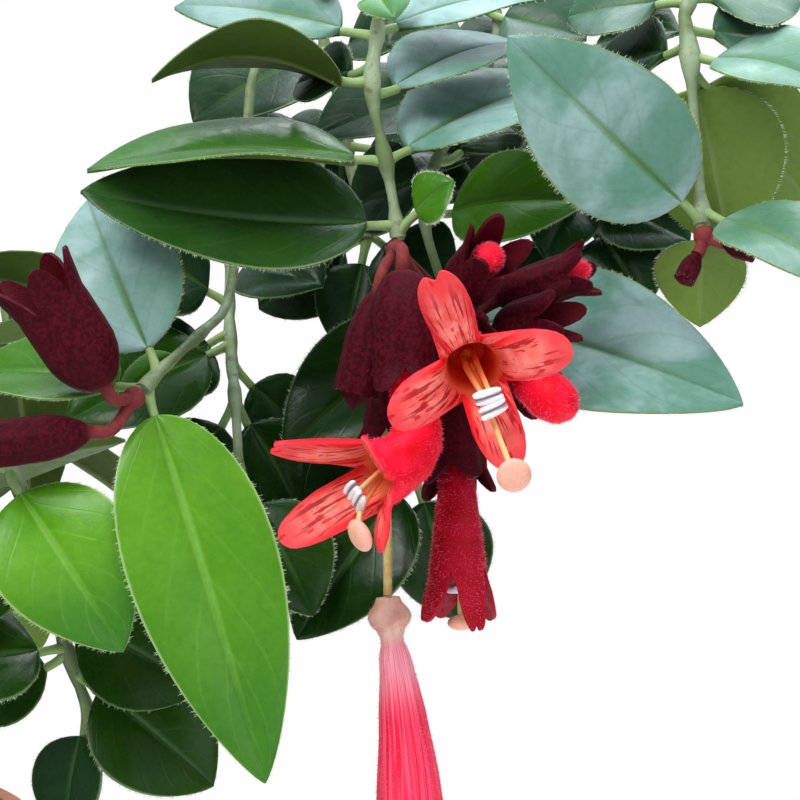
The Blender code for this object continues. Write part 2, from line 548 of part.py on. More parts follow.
def front_clusters(shoots):
    """The flowers in the middle of the front, the calyces left of them and the small buds right of them."""
    def calyx(foot, mouth, radius, lobe=4.5, shut=False):
        return Calyx(seen(*foot), seen(*mouth), radius / 1000, lobe / 1000, shut)

    ends = {shoot.name: shoot.route[-1] for shoot in shoots}
    cups = [
        calyx((-3.2, 16.2, -4.5), (-7.0, -0.4, -4.5), 3.3, shut=True),
        calyx((0.4, 19.5, -6.5), (0.8, 4.8, -7.0), 5.0, 3.6),
        calyx((8.6, 15.8, 1.0), (12.9, 20.8, -6.0), 4.2, 5.0),
        calyx((14.6, 15.0, 7.5), (25.4, 18.8, 4.5), 3.4, 3.6),
        calyx((14.5, 10.4, 3.6), (21.8, 12.4, -1.0), 3.7, 4.6),
        calyx((7.2, 13.5, 6.5), (9.2, 9.0, -4.5), 4.8, 3.6),
        calyx((7.5, 2.0, 9.0), (8.4, -10.5, 3.0), 4.6, 3.6),
        calyx((13.4, 8.0, 11.0), (18.6, 3.4, 4.0), 4.4, 3.6),
        calyx((0.0, 10.0, 9.0), (-2.0, -4.5, 7.0), 3.6, 3.6)]
    flowers = [
        Corolla("corolla_facing", [*in_cup(cups[5]), seen(10.3, 6.4, -11), seen(10.9, 4.8, -16)],
                facing(-0.38, 0.90, -0.2), 0.0046, (0.0192, 0.0192, 0.0118, 0.0125, 0.0125),
                (86, 86, 88, 80, 88)),
        Corolla("corolla_left", [*in_cup(cups[1]), seen(2.2, -1.2, -8.4), seen(2.4, -6.0, -10.4),
                                 seen(0.2, -9.4, -12.6), seen(-2.8, -10.8, -14.2)],
                facing(-0.10, 0.85, 0.5), 0.0050, (0.0135, 0.0135, 0.0150, 0.0085, 0.0060),
                (36, 36, 40, 80, 84)),
        Corolla("corolla_down", [*in_cup(cups[6]), seen(8.6, -17.5, 1.0), seen(8.7, -24.5, 0.5)],
                facing(0.5, 0.1, -0.85), 0.0042, (0.0095, 0.0095, 0.0080, 0.0075, 0.0080),
                (12, 12, 22, 20, 22)),
        Corolla("bud_round", [*in_cup(cups[7]), seen(22.4, 0.6, 0.0), seen(26.2, -2.2, -1.0)],
                facing(0, 1, 0), 0.0038, bud=True),
        Corolla("bud_small", [*in_cup(cups[2]), seen(13.7, 21.8, -9.4)],
                facing(0, 1, 0), 0.0024, bud=True),
        Corolla("bud_pale", [*in_cup(cups[3]), seen(28.4, 20.0, 3.6)],
                facing(0, 1, 0), 0.0020, bud=True),
        Corolla("corolla_fallen", [seen(-1.8, -29.6, 6), seen(-1.3, -35.0, 6), seen(0.0, -44.0, 5),
                                   seen(1.2, -56.0, 4), seen(1.8, -70.0, 3), seen(1.0, -76.0, 1)],
                facing(0.7, 0, -0.7), 0.0068, (0.0080, 0.0080, 0.0070, 0.0070, 0.0070),
                (16, 16, 30, 26, 30), fallen=True)]
    throats = [in_throat(flower, THROAT_FLOOR)[0] for flower in flowers[:3]]
    stamens = [
        Stamens("stamens_facing", throats[0], seen(13.6, -0.4, -25), seen(17.1, -11.3, -25.5)),
        Stamens("stamens_left", throats[1], seen(-7.0, -14.4, -18.5), seen(-6.0, -20.3, -20.0)),
        Stamens("stamens_down", throats[2], seen(9.2, -28.7, -0.6), seen(9.2, -33.4, 0.4))]
    main = Cluster("calyces_main", ends["shoot_front_hanging"] + facing(-0.1, -0.9, -0.4) * 0.0022,
                   cups, flowers, stamens)
    left = Cluster("calyces_left", ends["shoot_front_hooked"] + facing(-0.45, -0.45, -0.77) * 0.0023, [
        calyx((-44.2, 2.0, -12.0), (-52.5, 14.5, -15.0), 5.4, 6.0),
        calyx((-46.6, -4.8, -11.0), (-62.0, -6.8, -13.5), 3.4, shut=True)], [], [])
    right = Cluster("calyces_right", ends["shoot_front_right"] + facing(0.1, -0.8, -0.6) * 0.0023, [
        calyx((48.6, 23.6, 0.2), (53.6, 22.4, -1.8), 1.9, shut=True),
        calyx((44.6, 21.8, 0.2), (42.4, 17.6, -1.6), 1.6, shut=True)], [], [])
    return [main, left, right]


def arching_route(degrees, reach, peak, end, start, wobble):
    """A stem that rises from the soil, arches outwards and comes down to a height."""
    out = Vector((math.cos(math.radians(degrees)), math.sin(math.radians(degrees)), 0))
    across = Vector((-out.y, out.x, 0))
    bends = [out * start + Vector((0, 0, SOIL_TOP)),
             out * (start + reach * 0.12) + Vector((0, 0, SOIL_TOP + peak * 0.85)),
             out * (reach * 0.90) + Vector((0, 0, SOIL_TOP + peak * 1.25)), out * reach + Vector((0, 0, end))]
    points = []
    for i in range(7):
        t = i / 6
        p = (bends[0] * (1 - t) ** 3 + bends[1] * 3 * t * (1 - t) ** 2
             + bends[2] * 3 * t * t * (1 - t) + bends[3] * t ** 3)
        points.append(p + across * (wobble * math.sin(math.pi * t) * t))
    return points


# Degrees round the pot, reach from its axis, height of the arch over the soil, height of the tip, flowers
OTHER_STEMS = (
    (70, 0.142, 0.124, 0.130, 0), (96, 0.150, 0.118, 0.114, 2), (125, 0.136, 0.136, 0.140, 0),
    (154, 0.152, 0.114, 0.100, 2), (187, 0.138, 0.136, 0.134, 0), (219, 0.150, 0.116, 0.104, 2),
    (252, 0.140, 0.130, 0.126, 0), (285, 0.118, 0.122, 0.128, 0), (40, 0.046, 0.150, 0.250, 0),
    (150, 0.058, 0.150, 0.246, 0), (262, 0.056, 0.150, 0.246, 0))


def leaf_ways(along, index, dice):
    """Directions, size shares, tilts and arches of two opposite leaves, turned a quarter from the last pair."""
    across = along.cross(Vector((0, 0, 1)))
    across = across.normalized() if across.length > 0.05 else Vector((1, 0, 0))
    over = across.cross(along).normalized()
    turn = math.radians(90 * (index % 2) + dice.uniform(-28, 28))
    pair = []
    for hand in (1, -1):
        out = (across * math.cos(turn) + over * math.sin(turn)) * hand
        way = out + along * dice.uniform(0.35, 0.65) + Vector((0, 0, dice.uniform(-0.30, 0.02)))
        pair.append((way.normalized(), dice.uniform(0.86, 1.10), dice.uniform(-0.15, 0.15),
                     dice.uniform(0.03, 0.09)))
    return pair


TURNS = ((0, 0), (18, 0), (-18, 0), (0, 18), (0, -18), (30, 14), (-30, 14), (30, -16), (-30, -16),
         (0, 34), (46, 0), (-46, 0), (0, -34))


class Space:
    """What stands already, so that later leaves and stems keep clear of it."""

    def __init__(self):
        self.solids = []

    def add(self, owner, shape, own_only=None):
        corners, faces = shape
        middle = sum(corners, Vector()) / len(corners)
        reach = max((p - middle).length for p in corners)
        self.solids.append((owner, own_only, middle, reach, BVHTree.FromPolygons(corners, faces)))

    def add_leaf(self, owner, leaf):
        self.add(owner, leaf_solid(leaf), False)
        self.add(owner, leaf_solid(leaf, bare=True), True)

    def touched(self, owner, shape, own):
        """Names of what a shape meets: of its owner's own solids, or of all the others."""
        corners, faces = shape
        middle = sum(corners, Vector()) / len(corners)
        reach = max((p - middle).length for p in corners)
        tree = BVHTree.FromPolygons(corners, faces)
        for other, own_only, at, far, solid in self.solids:
            if (other == owner) != own or own_only == (not own):
                continue
            if (at - middle).length < reach + far and tree.overlap(solid):
                return True
        return False

    def free_for(self, owner, leaf):
        """Whether a leaf keeps clear of other pieces and, but for its petiole, of its own shoot."""
        if self.touched(owner, leaf_solid(leaf, LEAF_CLEARANCE), False):
            return False
        return not self.touched(owner, leaf_solid(leaf, LEAF_CLEARANCE / 3, True), True)


def in_clear_space(corners):
    """Whether points come before the front's flowers or into the gaps round them, or near the ground."""
    for p in corners:
        if p.z < 0.012:
            return True
        off = p - FRONT_MIDDLE
        behind = off.dot(LOOK)
        spread = FRONT_DISTANCE / (FRONT_DISTANCE + behind) * 1000
        right, up = off.x * spread, off.dot(RISE) * spread
        if behind < 0.016 and -64 < right < 78 and -72 < up < 72:
            return True
        if right > 16 and up < -2 or right > 49 and up < 18 or -20 < right < 17 and up < -37:
            return True
        if -25 < right < -11 and -4 < up < 13 or right < -36 and up > 41 or right < -46 and up > 24:
            if right > -75:
                return True
    return False


def placed_leaf(space, owner, foot, way, size, tilt, arch):
    """The first turn of a leaf that touches nothing, or None."""
    outward = Vector((foot.x, foot.y, 0.0001)).normalized()
    for shrink in (1.0, 0.85, 0.72):
        for swing, lift in TURNS:
            aim = Quaternion(Vector((0, 0, 1)), math.radians(swing)) @ way
            level = aim.cross(Vector((0, 0, 1)))
            if level.length > 0.001:
                aim = Quaternion(level.normalized(), math.radians(lift)) @ aim
            face = (Vector((0, 0, 0.9)) + outward * (0.55 + tilt)).normalized()
            if abs(face.dot(aim)) > 0.85:
                face = (outward + Vector((0, 0, 0.2)) - aim).normalized()
            length = size * shrink
            leaf = Leaf(foot, foot + aim * length, length * LEAF_WIDTH_SHARE, face, arch, plain=True)
            corners = leaf_solid(leaf)[0]
            edges = [(a + b) / 2 for a, b in zip(corners, corners[4:])]
            if not in_clear_space(corners + edges) and space.free_for(owner, leaf):
                return leaf
    return None


def tip_cluster(name, tip, along, count, dice):
    """Calyces hanging outwards from a stem's tip, with an open flower, a bud and a closed calyx."""
    outward = Vector((tip.x, tip.y, 0)).normalized()
    across = Vector((-outward.y, outward.x, 0))
    knob = tip + along * 0.0023
    cups, flowers, stamens = [], [], []
    for i in range(count + 1):
        spin = (i - count / 2) * 0.95 + dice.uniform(-0.1, 0.1)
        drop = (-0.55, -0.05, -0.90)[i % 3]
        aim = (outward * 0.75 + across * math.sin(spin) * 1.2 + Vector((0, 0, drop))).normalized()
        foot = knob + aim * 0.010 + along * 0.002
        cups.append(Calyx(foot, foot + aim * (0.016, 0.015, 0.014)[i % 3], (0.0046, 0.0040, 0.0030)[i % 3],
                          0.004, i == count))
    aim = (cups[0].mouth - cups[0].foot).normalized()
    bend = cups[0].mouth + aim * 0.009
    end = bend + (aim * 0.7 + outward * 0.6 + Vector((0, 0, 0.25))).normalized() * 0.008
    flower = Corolla(f"corolla_{name}", [*in_cup(cups[0]), bend, end], Vector((0, 0, 1)), 0.0048,
                     (0.010, 0.010, 0.011, 0.010, 0.011), (26, 26, 76, 66, 76), plain=True)
    aim = (cups[1].mouth - cups[1].foot).normalized()
    bud = Corolla(f"bud_{name}", [*in_cup(cups[1]), cups[1].mouth + aim * 0.008], Vector((0, 0, 1)),
                  0.0027, bud=True)
    throat, (out, upward, _) = in_throat(flower, THROAT_FLOOR)
    stamens.append(Stamens(f"stamens_{name}", throat, throat[-1] + out * 0.0090 + upward * 0.0005,
                           throat[-1] + out * 0.0115 - upward * 0.0040))
    flowers += [flower, bud]
    return Cluster(f"calyces_{name}", knob, cups, flowers, stamens)


def calyx_solid(knob, calyx):
    return loft(calyx_rings(knob, calyx, 2, (0.06, 0.50)))


def corolla_solid(corolla):
    if corolla.bud:
        return loft(bud_rings(corolla, 8, (0.0, 0.4, 0.75, 1.0)))
    if corolla.fallen:
        return loft(corolla_rings(corolla, 3, (0.0, 0.05, 0.11, 0.2, 0.6, 1.0), (1.0,), (1.0, 0.7)))
    if corolla.plain:
        return loft(corolla_rings(corolla, 3, (0.0, 0.5, 1.0), (1.0,), (1.0, THROAT_FLOOR)))
    return loft(corolla_rings(corolla, 4, (0.0, 0.35, 0.7, 1.0), (0.4, 1.0), (1.0, THROAT_FLOOR)))


def stamen_solids(stamens, single):
    """Filaments to the anthers and a style to the stigma, from one foot in the throat."""
    root, mouth = stamens.route[0], stamens.route[-1]
    along = (mouth - stamens.route[-2]).normalized()
    down = flower_down(stamens)
    solids = [ball(root, along, 0.0010, 0.0010, 6, 2)]
    for hand in (0.0,) if single else (-0.5, 0.5):
        spread = along.cross(down).normalized() * (0.0008 * hand)
        line = through([*[p + spread for p in stamens.route], stamens.anthers + spread], 0.0045)
        solids.append(tube(line, [0.0004] * len(line), 4))
    solids.append(ball(stamens.anthers, along, 0.0016, 0.0009, 6, 2))
    style = through([*[p + down * 0.0006 for p in stamens.route],
                     mouth.lerp(stamens.stigma, 0.55) + along * 0.0016, stamens.stigma], 0.0045)
    solids.append(tube(style, [0.0004] * len(style), 4))
    solids.append(ball(stamens.stigma, along, 0.0022, 0.0010, 6 if single else 8, 2))
    return solids


def cluster_solids(cluster):
    """The knob and calyces of a cluster."""
    first = cluster.calyces[0]
    knob = ball(cluster.knob, first.foot - cluster.knob, KNOB_RADIUS, KNOB_RADIUS, 6, 3)
    return [knob, *[calyx_solid(cluster.knob, calyx) for calyx in cluster.calyces]]


def hanging_style(cluster):
    """The style that a dropped corolla hangs on, out of the cluster's last calyx."""
    fallen = cluster.corollas[-1]
    start, mouth = in_cup(cluster.calyces[-1])
    end = fallen.route[0] - (fallen.route[1] - fallen.route[0]).normalized() * SEAT_GAP
    return through([start, mouth, mouth.lerp(end, 0.5), end], 0.008)


def flower_down(stamens):
    """The way a flower's lower lip points: from its mouth's axis to its stigma."""
    along = (stamens.route[-1] - stamens.route[-2]).normalized()
    down = stamens.stigma - stamens.route[-1]
    return (down - along * down.dot(along)).normalized()


def pot_profile():
    """Radius and height of the pot's section, from its foot up the outside and down the inside."""
    def outer(z):
        return POT_FOOT_RADIUS + (POT_TOP_RADIUS - POT_FOOT_RADIUS) * z / POT_HEIGHT

    low = POT_HEIGHT - RIM_HEIGHT
    rim = POT_TOP_RADIUS + RIM_PROUD
    return [(POT_FOOT_RADIUS - 0.0015, 0.0), (POT_FOOT_RADIUS, 0.0012), (outer(low), low),
            (rim - 0.0012, low + 0.0002), (rim - 0.0004, low + 0.0012), (rim, POT_HEIGHT - 0.0012),
            (rim - 0.0010, POT_HEIGHT), (POT_TOP_RADIUS - POT_WALL + 0.0008, POT_HEIGHT),
            (POT_TOP_RADIUS - POT_WALL, POT_HEIGHT - 0.0010), (outer(POT_FLOOR) - POT_WALL, POT_FLOOR)]


def lathe(profile, sides=30):
    """Corners and triangles of a solid turned round the z axis."""
    turns = [2 * math.pi * i / sides for i in range(sides)]
    return loft([[Vector((r * math.cos(a), r * math.sin(a), z)) for a in turns] for r, z in profile])


def inner_radius(z):
    """The pot's inner radius at a height."""
    return POT_FOOT_RADIUS + (POT_TOP_RADIUS - POT_FOOT_RADIUS) * z / POT_HEIGHT - POT_WALL


def soil_profile():
    low, top = POT_FLOOR + SEAT_GAP, SOIL_TOP - 0.0015
    return [(inner_radius(low) - SEAT_GAP, low), (inner_radius(top) - SEAT_GAP, top),
            (inner_radius(top) * 0.62, SOIL_TOP + 0.0005)]


def plan_plant():
    """Every shoot and cluster, with the leaves turned clear of what was placed before."""
    shoots, others, space = front_shoots(), [], Space()
    clusters = front_clusters(shoots)
    space.add("pot", lathe([(r + 0.002 if i < 8 else r, z + (0.002 if i > 5 else 0))
                            for i, (r, z) in enumerate(pot_profile())]))
    for shoot in shoots:
        line, radii = stem_line(shoot)
        space.add(shoot.name, tube(line[2:], [r + LEAF_CLEARANCE for r in radii[2:]], 6))
    for cluster in clusters:
        for shape in cluster_solids(cluster) + [corolla_solid(flower) for flower in cluster.corollas]:
            space.add(cluster.name, shape)
    for shoot in shoots:
        kept, line = [], stem_line(shoot)[0]
        for leaf in shoot.leaves:
            leaf.foot = on_line(line, leaf.foot)
            tip = leaf.tip.copy()
            for further in (0, 2, -2, 4, -4, 6, -6, 9, -9, 12, -12):
                leaf.tip = tip + LOOK * (further / 1000)
                if space.free_for(shoot.name, leaf):
                    kept.append(leaf)
                    space.add_leaf(shoot.name, leaf)
                    break
        shoot.leaves = kept
    dice = random.Random(24)
    for number, (degrees, reach, peak, end, blooms) in enumerate(OTHER_STEMS, 1):
        start = 0.046 if reach > 0.1 else 0.016
        wobble = dice.uniform(-0.008, 0.008)
        for turn in (0, 3, -3, 6, -6, 9, -9):
            route = arching_route(degrees + turn, reach, peak, end, start, wobble)
            shoot = Shoot(f"shoot_{number:02d}", route)
            line, radii = stem_line(shoot)
            if not space.touched(shoot.name, tube(line, [r + LEAF_CLEARANCE for r in radii], 6), False):
                break
        space.add(shoot.name, tube(line[2:], [r + LEAF_CLEARANCE for r in radii[2:]], 6))
        others.append(shoot)
        if blooms:
            along = (line[-1] - line[-2]).normalized()
            cluster = tip_cluster(f"{number:02d}", line[-1], along, blooms, dice)
            clusters.append(cluster)
            for shape in cluster_solids(cluster) + [corolla_solid(flower) for flower in cluster.corollas]:
                space.add(cluster.name, shape)
    for shoot in others:
        nodes, line = through(shoot.route, NODE_SPACING), stem_line(shoot)[0]
        for i in range(2, len(nodes)):
            along = (nodes[i] - nodes[i - 1]).normalized()
            foot = on_line(line, nodes[i] - along * (0.0015 if i == len(nodes) - 1 else 0))
            share = 0.70 if i == len(nodes) - 1 else 1.0
            for way, size, tilt, arch in leaf_ways(along, i, dice):
                leaf = placed_leaf(space, shoot.name, foot, way, LEAF_LENGTH * size * share, tilt, arch)
                if leaf:
                    shoot.leaves.append(leaf)
                    space.add_leaf(shoot.name, leaf)
    return shoots + others, clusters


def material(name, colour, roughness):
    made = bpy.data.materials.new(name)
    made.use_nodes = True
    shader = made.node_tree.nodes["Principled BSDF"]
    shader.inputs["Base Color"].default_value = (*colour, 1)
    shader.inputs["Roughness"].default_value = roughness
    return made


def mesh_of(name, shape, paint):
    corners, faces = shape
    mesh = bpy.data.meshes.new(name)
    mesh.from_pydata(corners, [], faces)
    filled = bmesh.new()
    filled.from_mesh(mesh)
    bmesh.ops.recalc_face_normals(filled, faces=filled.faces)
    filled.to_mesh(mesh)
    filled.free()
    mesh.materials.append(paint)
    return mesh


def thin_out(mesh):
    """Drops the corners that a Boolean leaves within flat stretches."""
    thinned = bmesh.new()
    thinned.from_mesh(mesh)
    bmesh.ops.dissolve_limit(thinned, angle_limit=math.radians(0.8), verts=thinned.verts, edges=thinned.edges)
    bmesh.ops.triangulate(thinned, faces=thinned.faces)
    thinned.to_mesh(mesh)
    thinned.free()


def fused(name, shapes, paint, operation="UNION", thin=True):
    """One object of the first shape joined with, or cut by, the others."""
    first, *rest = shapes
    made = bpy.data.objects.new(name, mesh_of(name, first, paint))
    bpy.context.scene.collection.objects.link(made)
    if rest:
        pieces = bpy.data.collections.new(name + "_pieces")
        bpy.context.scene.collection.children.link(pieces)
        for i, shape in enumerate(rest):
            pieces.objects.link(bpy.data.objects.new(f"{name}_{i}", mesh_of(f"{name}_{i}", shape, paint)))
        join = made.modifiers.new("pieces", "BOOLEAN")
        join.operation = operation
        join.operand_type = "COLLECTION"
        join.collection = pieces
        join.solver = "EXACT"
        whole = bpy.data.meshes.new_from_object(made.evaluated_get(bpy.context.evaluated_depsgraph_get()))
        made.modifiers.remove(join)
        made.data = whole
        if thin:
            thin_out(whole)
        for obj in list(pieces.objects):
            bpy.data.objects.remove(obj)
        bpy.data.collections.remove(pieces)
    made.data.name = name
    made.data.shade_smooth()
    made.data.set_sharp_from_angle(angle=math.radians(42))
    return made


def build():
    for obj in list(bpy.data.objects):
        bpy.data.objects.remove(obj)
    terracotta = material("pot_plastic", (0.47, 0.19, 0.11), 0.45)
    earth = material("soil", (0.060, 0.040, 0.028), 0.95)
    green = material("leaf", (0.055, 0.17, 0.045), 0.35)
    maroon = material("calyx", (0.10, 0.008, 0.018), 0.70)
    red = material("petal", (0.72, 0.020, 0.025), 0.50)
    cream = material("stamen", (0.80, 0.50, 0.36), 0.60)
    lime = material("style", (0.55, 0.52, 0.22), 0.50)

    shoots, clusters = plan_plant()
    drains = []
    for k in range(DRAIN_COUNT):
        a = 2 * math.pi * (k + 0.5) / DRAIN_COUNT
        middle = Vector((DRAIN_RING * math.cos(a), DRAIN_RING * math.sin(a), 0))
        ends = [middle + Vector((0, 0, -0.002)), middle + Vector((0, 0, POT_FLOOR + 0.002))]
        drains.append(tube(ends, [DRAIN_RADIUS] * 2, 10))
    fused("pot", [lathe(pot_profile()), *drains], terracotta, "DIFFERENCE")
    holes = []
    for shoot in shoots:
        foot = shoot.route[0]
        ends = [foot - Vector((0, 0, STEM_HOLE_DEPTH + SEAT_GAP)), foot + Vector((0, 0, 0.006))]
        holes.append(tube(ends, [STEM_FOOT_RADIUS + SEAT_GAP * 1.15] * 2, 6))
    fused("soil", [lathe(soil_profile()), *holes], earth, "DIFFERENCE")

    for shoot in shoots:
        line, radii = stem_line(shoot)
        fused(shoot.name, [tube(line, radii, 5), *[leaf_solid(leaf) for leaf in shoot.leaves]], green)
    for cluster in clusters:
        fused(cluster.name, cluster_solids(cluster), maroon)
        for flower in cluster.corollas:
            fused(flower.name, [corolla_solid(flower)], red)
        for stamens in cluster.stamens:
            single = stamens.name not in ("stamens_facing", "stamens_left")
            fused(stamens.name, stamen_solids(stamens, single), cream, thin=False)
    line = hanging_style(clusters[0])
    fused("style_hanging", [tube(line, [0.0007] * len(line), 6)], lime)


build()
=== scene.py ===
"""The looks of a lipstick plant in a plain plastic pot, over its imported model.

The plan of stems, leaves and flowers repeats the part's own rules and values, so that every
piece lies where its solid lies. Metres, +Z up, origin at the middle of the pot's foot.
"""

import json
import math
import random
from dataclasses import dataclass, field

import bmesh
import bpy
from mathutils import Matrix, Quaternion, Vector, noise
from mathutils.bvhtree import BVHTree

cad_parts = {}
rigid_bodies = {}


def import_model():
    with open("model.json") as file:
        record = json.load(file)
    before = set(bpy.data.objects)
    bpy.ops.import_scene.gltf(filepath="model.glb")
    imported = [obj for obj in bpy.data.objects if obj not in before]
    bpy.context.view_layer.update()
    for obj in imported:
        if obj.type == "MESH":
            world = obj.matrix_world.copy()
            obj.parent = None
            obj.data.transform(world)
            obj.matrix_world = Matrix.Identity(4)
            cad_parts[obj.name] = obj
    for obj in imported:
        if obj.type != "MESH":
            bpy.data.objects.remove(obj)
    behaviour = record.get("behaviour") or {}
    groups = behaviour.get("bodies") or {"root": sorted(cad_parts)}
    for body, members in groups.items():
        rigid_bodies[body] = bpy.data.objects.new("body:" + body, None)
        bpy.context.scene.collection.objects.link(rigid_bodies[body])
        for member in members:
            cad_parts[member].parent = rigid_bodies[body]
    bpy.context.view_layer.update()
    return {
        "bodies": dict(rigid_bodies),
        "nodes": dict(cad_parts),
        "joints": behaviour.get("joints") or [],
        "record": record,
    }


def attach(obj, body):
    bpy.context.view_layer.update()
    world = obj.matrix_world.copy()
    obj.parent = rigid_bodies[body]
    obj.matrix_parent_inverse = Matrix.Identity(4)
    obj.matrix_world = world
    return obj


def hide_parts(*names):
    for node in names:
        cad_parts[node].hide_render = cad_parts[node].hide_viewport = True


# Pot and soil
POT_HEIGHT = 0.105
POT_TOP_RADIUS = 0.060
POT_FOOT_RADIUS = 0.043
POT_WALL = 0.0024
POT_FLOOR = 0.003
RIM_HEIGHT = 0.013
RIM_PROUD = 0.0022
DRAIN_RADIUS = 0.004
DRAIN_RING = 0.027
DRAIN_COUNT = 4
SOIL_TOP = 0.093
SEAT_GAP = 0.0003
STEM_HOLE_DEPTH = 0.022

# Leaves and stems
LEAF_LENGTH = 0.050
LEAF_WIDTH_SHARE = 0.43
RIB_THICKNESS = 0.0014
PETIOLE_LENGTH = 0.0045
PETIOLE_RADIUS = 0.0008
STEM_FOOT_RADIUS = 0.0015
STEM_TIP_RADIUS = 0.0009
NODE_SPACING = 0.031
LEAF_CLEARANCE = 0.0006
KNOB_RADIUS = 0.0017

# The front of the plant is laid out as it is seen from here: right, up and behind a middle point
FRONT_MIDDLE = Vector((0.122, -0.036, 0.180))
FRONT_DISTANCE = 0.42
FRONT_LOOK_DOWN = math.radians(5)
LOOK = Vector((0, math.cos(FRONT_LOOK_DOWN), -math.sin(FRONT_LOOK_DOWN)))
RISE = Vector((0, math.sin(FRONT_LOOK_DOWN), math.cos(FRONT_LOOK_DOWN)))


def seen(right, up, behind):
    """The point that is seen this many millimetres right of, above and behind the front's middle."""
    spread = (FRONT_DISTANCE + behind / 1000) / FRONT_DISTANCE / 1000
    return FRONT_MIDDLE + Vector((right * spread, 0, 0)) + RISE * up * spread + LOOK * behind / 1000


def facing(right, up, away):
    """A direction given as it is seen from the front."""
    return (Vector((right, 0, 0)) + RISE * up + LOOK * away).normalized()


@dataclass
class Leaf:
    foot: Vector
    tip: Vector
    width: float
    face: Vector
    arch: float = 0.06
    fold: float = 12.0
    plain: bool = False
    # A front leaf's painted light level (with its youth) and its painted sky reflection
    tone: tuple = ()


@dataclass
class Shoot:
    name: str
    route: list
    leaves: list = field(default_factory=list)


@dataclass
class Calyx:
    foot: Vector
    mouth: Vector
    radius: float
    lobe: float = 0.0045
    shut: bool = False


@dataclass
class Corolla:
    name: str
    route: list
    up: Vector
    radius: float
    lobes: tuple = ()
    flare: tuple = ()
    plain: bool = False
    bud: bool = False
    fallen: bool = False


@dataclass
class Stamens:
    name: str
    route: list
    anthers: Vector
    stigma: Vector


@dataclass
class Cluster:
    name: str
    knob: Vector
    calyces: list
    corollas: list
    stamens: list


def through(points, step):
    """Points a step apart along a smooth curve through the given ones."""
    ends = [points[0] * 2 - points[1], *points, points[-1] * 2 - points[-2]]
    fine = []
    for a, b, c, d in zip(ends, ends[1:], ends[2:], ends[3:]):
        for i in range(16):
            t = i / 16
            fine.append(0.5 * (2 * b + (c - a) * t + (2 * a - 5 * b + 4 * c - d) * t * t
                               + (3 * b - a - 3 * c + d) * t ** 3))
    fine.append(points[-1].copy())
    far = [0.0]
    for a, b in zip(fine, fine[1:]):
        far.append(far[-1] + (b - a).length)
    count = max(2, round(far[-1] / step))
    spaced, at = [], 0
    for i in range(count + 1):
        want = far[-1] * i / count
        while at < len(far) - 2 and far[at + 1] < want:
            at += 1
        share = (want - far[at]) / max(far[at + 1] - far[at], 1e-9)
        spaced.append(fine[at].lerp(fine[at + 1], min(share, 1.0)))
    return spaced


def frames(points, up):
    """A (tangent, up, side) frame at each point, turned as little as possible, with up at the last one."""
    tangents = [(b - a).normalized() for a, b in zip(points, points[1:])]
    tangents = [tangents[0], *[(a + b).normalized() for a, b in zip(tangents, tangents[1:])], tangents[-1]]
    upward = (up - tangents[-1] * up.dot(tangents[-1])).normalized()
    found = []
    for here, after in zip(reversed(tangents), [tangents[-1], *reversed(tangents[1:])]):
        upward = after.rotation_difference(here) @ upward
        upward = (upward - here * upward.dot(here)).normalized()
        found.append((here, upward, here.cross(upward)))
    return found[::-1]


def beside(way):
    """A direction that no steep or level line runs along: up, or right for a steep one."""
    return Vector((0, 0, 1)) if abs(way.z) < 0.9 else Vector((1, 0, 0))


def heading(points):
    """The direction of a line's last stretch."""
    return (points[-1] - points[-2]).normalized()


def turned_ring(middle, across, over, radius, sides):
    """Points round a middle, from the direction across towards the direction over."""
    turns = [2 * math.pi * i / sides for i in range(sides)]
    return [middle + (across * math.cos(a) + over * math.sin(a)) * radius for a in turns]


def loft(rings):
    """Corners and triangles of the skin over rings of equally many points, capped at both ends."""
    count = len(rings[0])
    corners = [p for ring in rings for p in ring]
    faces = []
    for row in range(len(rings) - 1):
        for i in range(count):
            j = (i + 1) % count
            a, b = row * count + i, row * count + j
            c, d = b + count, a + count
            faces += [(a, b, c), (a, c, d)]
    last = (len(rings) - 1) * count
    faces += [(0, i + 1, i) for i in range(1, count - 1)]
    faces += [(last, last + i, last + i + 1) for i in range(1, count - 1)]
    return corners, faces


def leaf_outline(t):
    """Half width of a leaf as a share of its greatest, at a share t of its length."""
    return 2.56 * t ** 0.55 * (1 - t) ** 0.85


LEAF_ROWS = (0.17, 0.40, 0.66, 0.88)
PLAIN_ROWS = (0.20, 0.52, 0.84)


def leaf_frame(leaf):
    """A leaf's ways along it, off its face and to its side, its blade's length, and its midrib's line."""
    along = leaf.tip - leaf.foot
    length = along.length
    along.normalize()
    normal = (leaf.face - along * leaf.face.dot(along)).normalized()
    blade = leaf.foot + along * PETIOLE_LENGTH
    blade_length = length - PETIOLE_LENGTH

    def middle(t):
        return blade + along * (blade_length * t) + normal * (leaf.arch * blade_length * 4 * t * (1 - t))

    return along, normal, normal.cross(along), blade_length, middle


def leaf_solid(leaf, clear=0.0, bare=False):
    """Corners and triangles of a leaf grown on all sides by a clearance, with its petiole unless bare."""
    along, normal, side, _, middle = leaf_frame(leaf)
    lift = math.sin(math.radians(leaf.fold))

    def row(at, half, thick, raised):
        return [at + side * half + normal * raised, at + normal * thick,
                at - side * half + normal * raised, at - normal * thick]

    stalk = PETIOLE_RADIUS + clear
    rings = []
    if not bare:
        rings = [row(leaf.foot, stalk, stalk, 0)]
    if not bare and not leaf.plain:
        rings.append(row(middle(0.01), stalk * 1.3, stalk * 0.9, 0))
    for t in PLAIN_ROWS if leaf.plain else LEAF_ROWS:
        half = leaf.width / 2 * leaf_outline(t) + clear
        thick = RIB_THICKNESS / 2 * (1.15 - 0.45 * t) + clear
        rings.append(row(middle(t), half, thick, half * lift))
    corners, faces = loft(rings)
    start = len(corners) - 4
    faces = [f for f in faces if min(f) < start]
    corners.append(leaf.tip + along * clear)
    faces += [(start + i, start + (i + 1) % 4, len(corners) - 1) for i in range(4)]
    return corners, faces


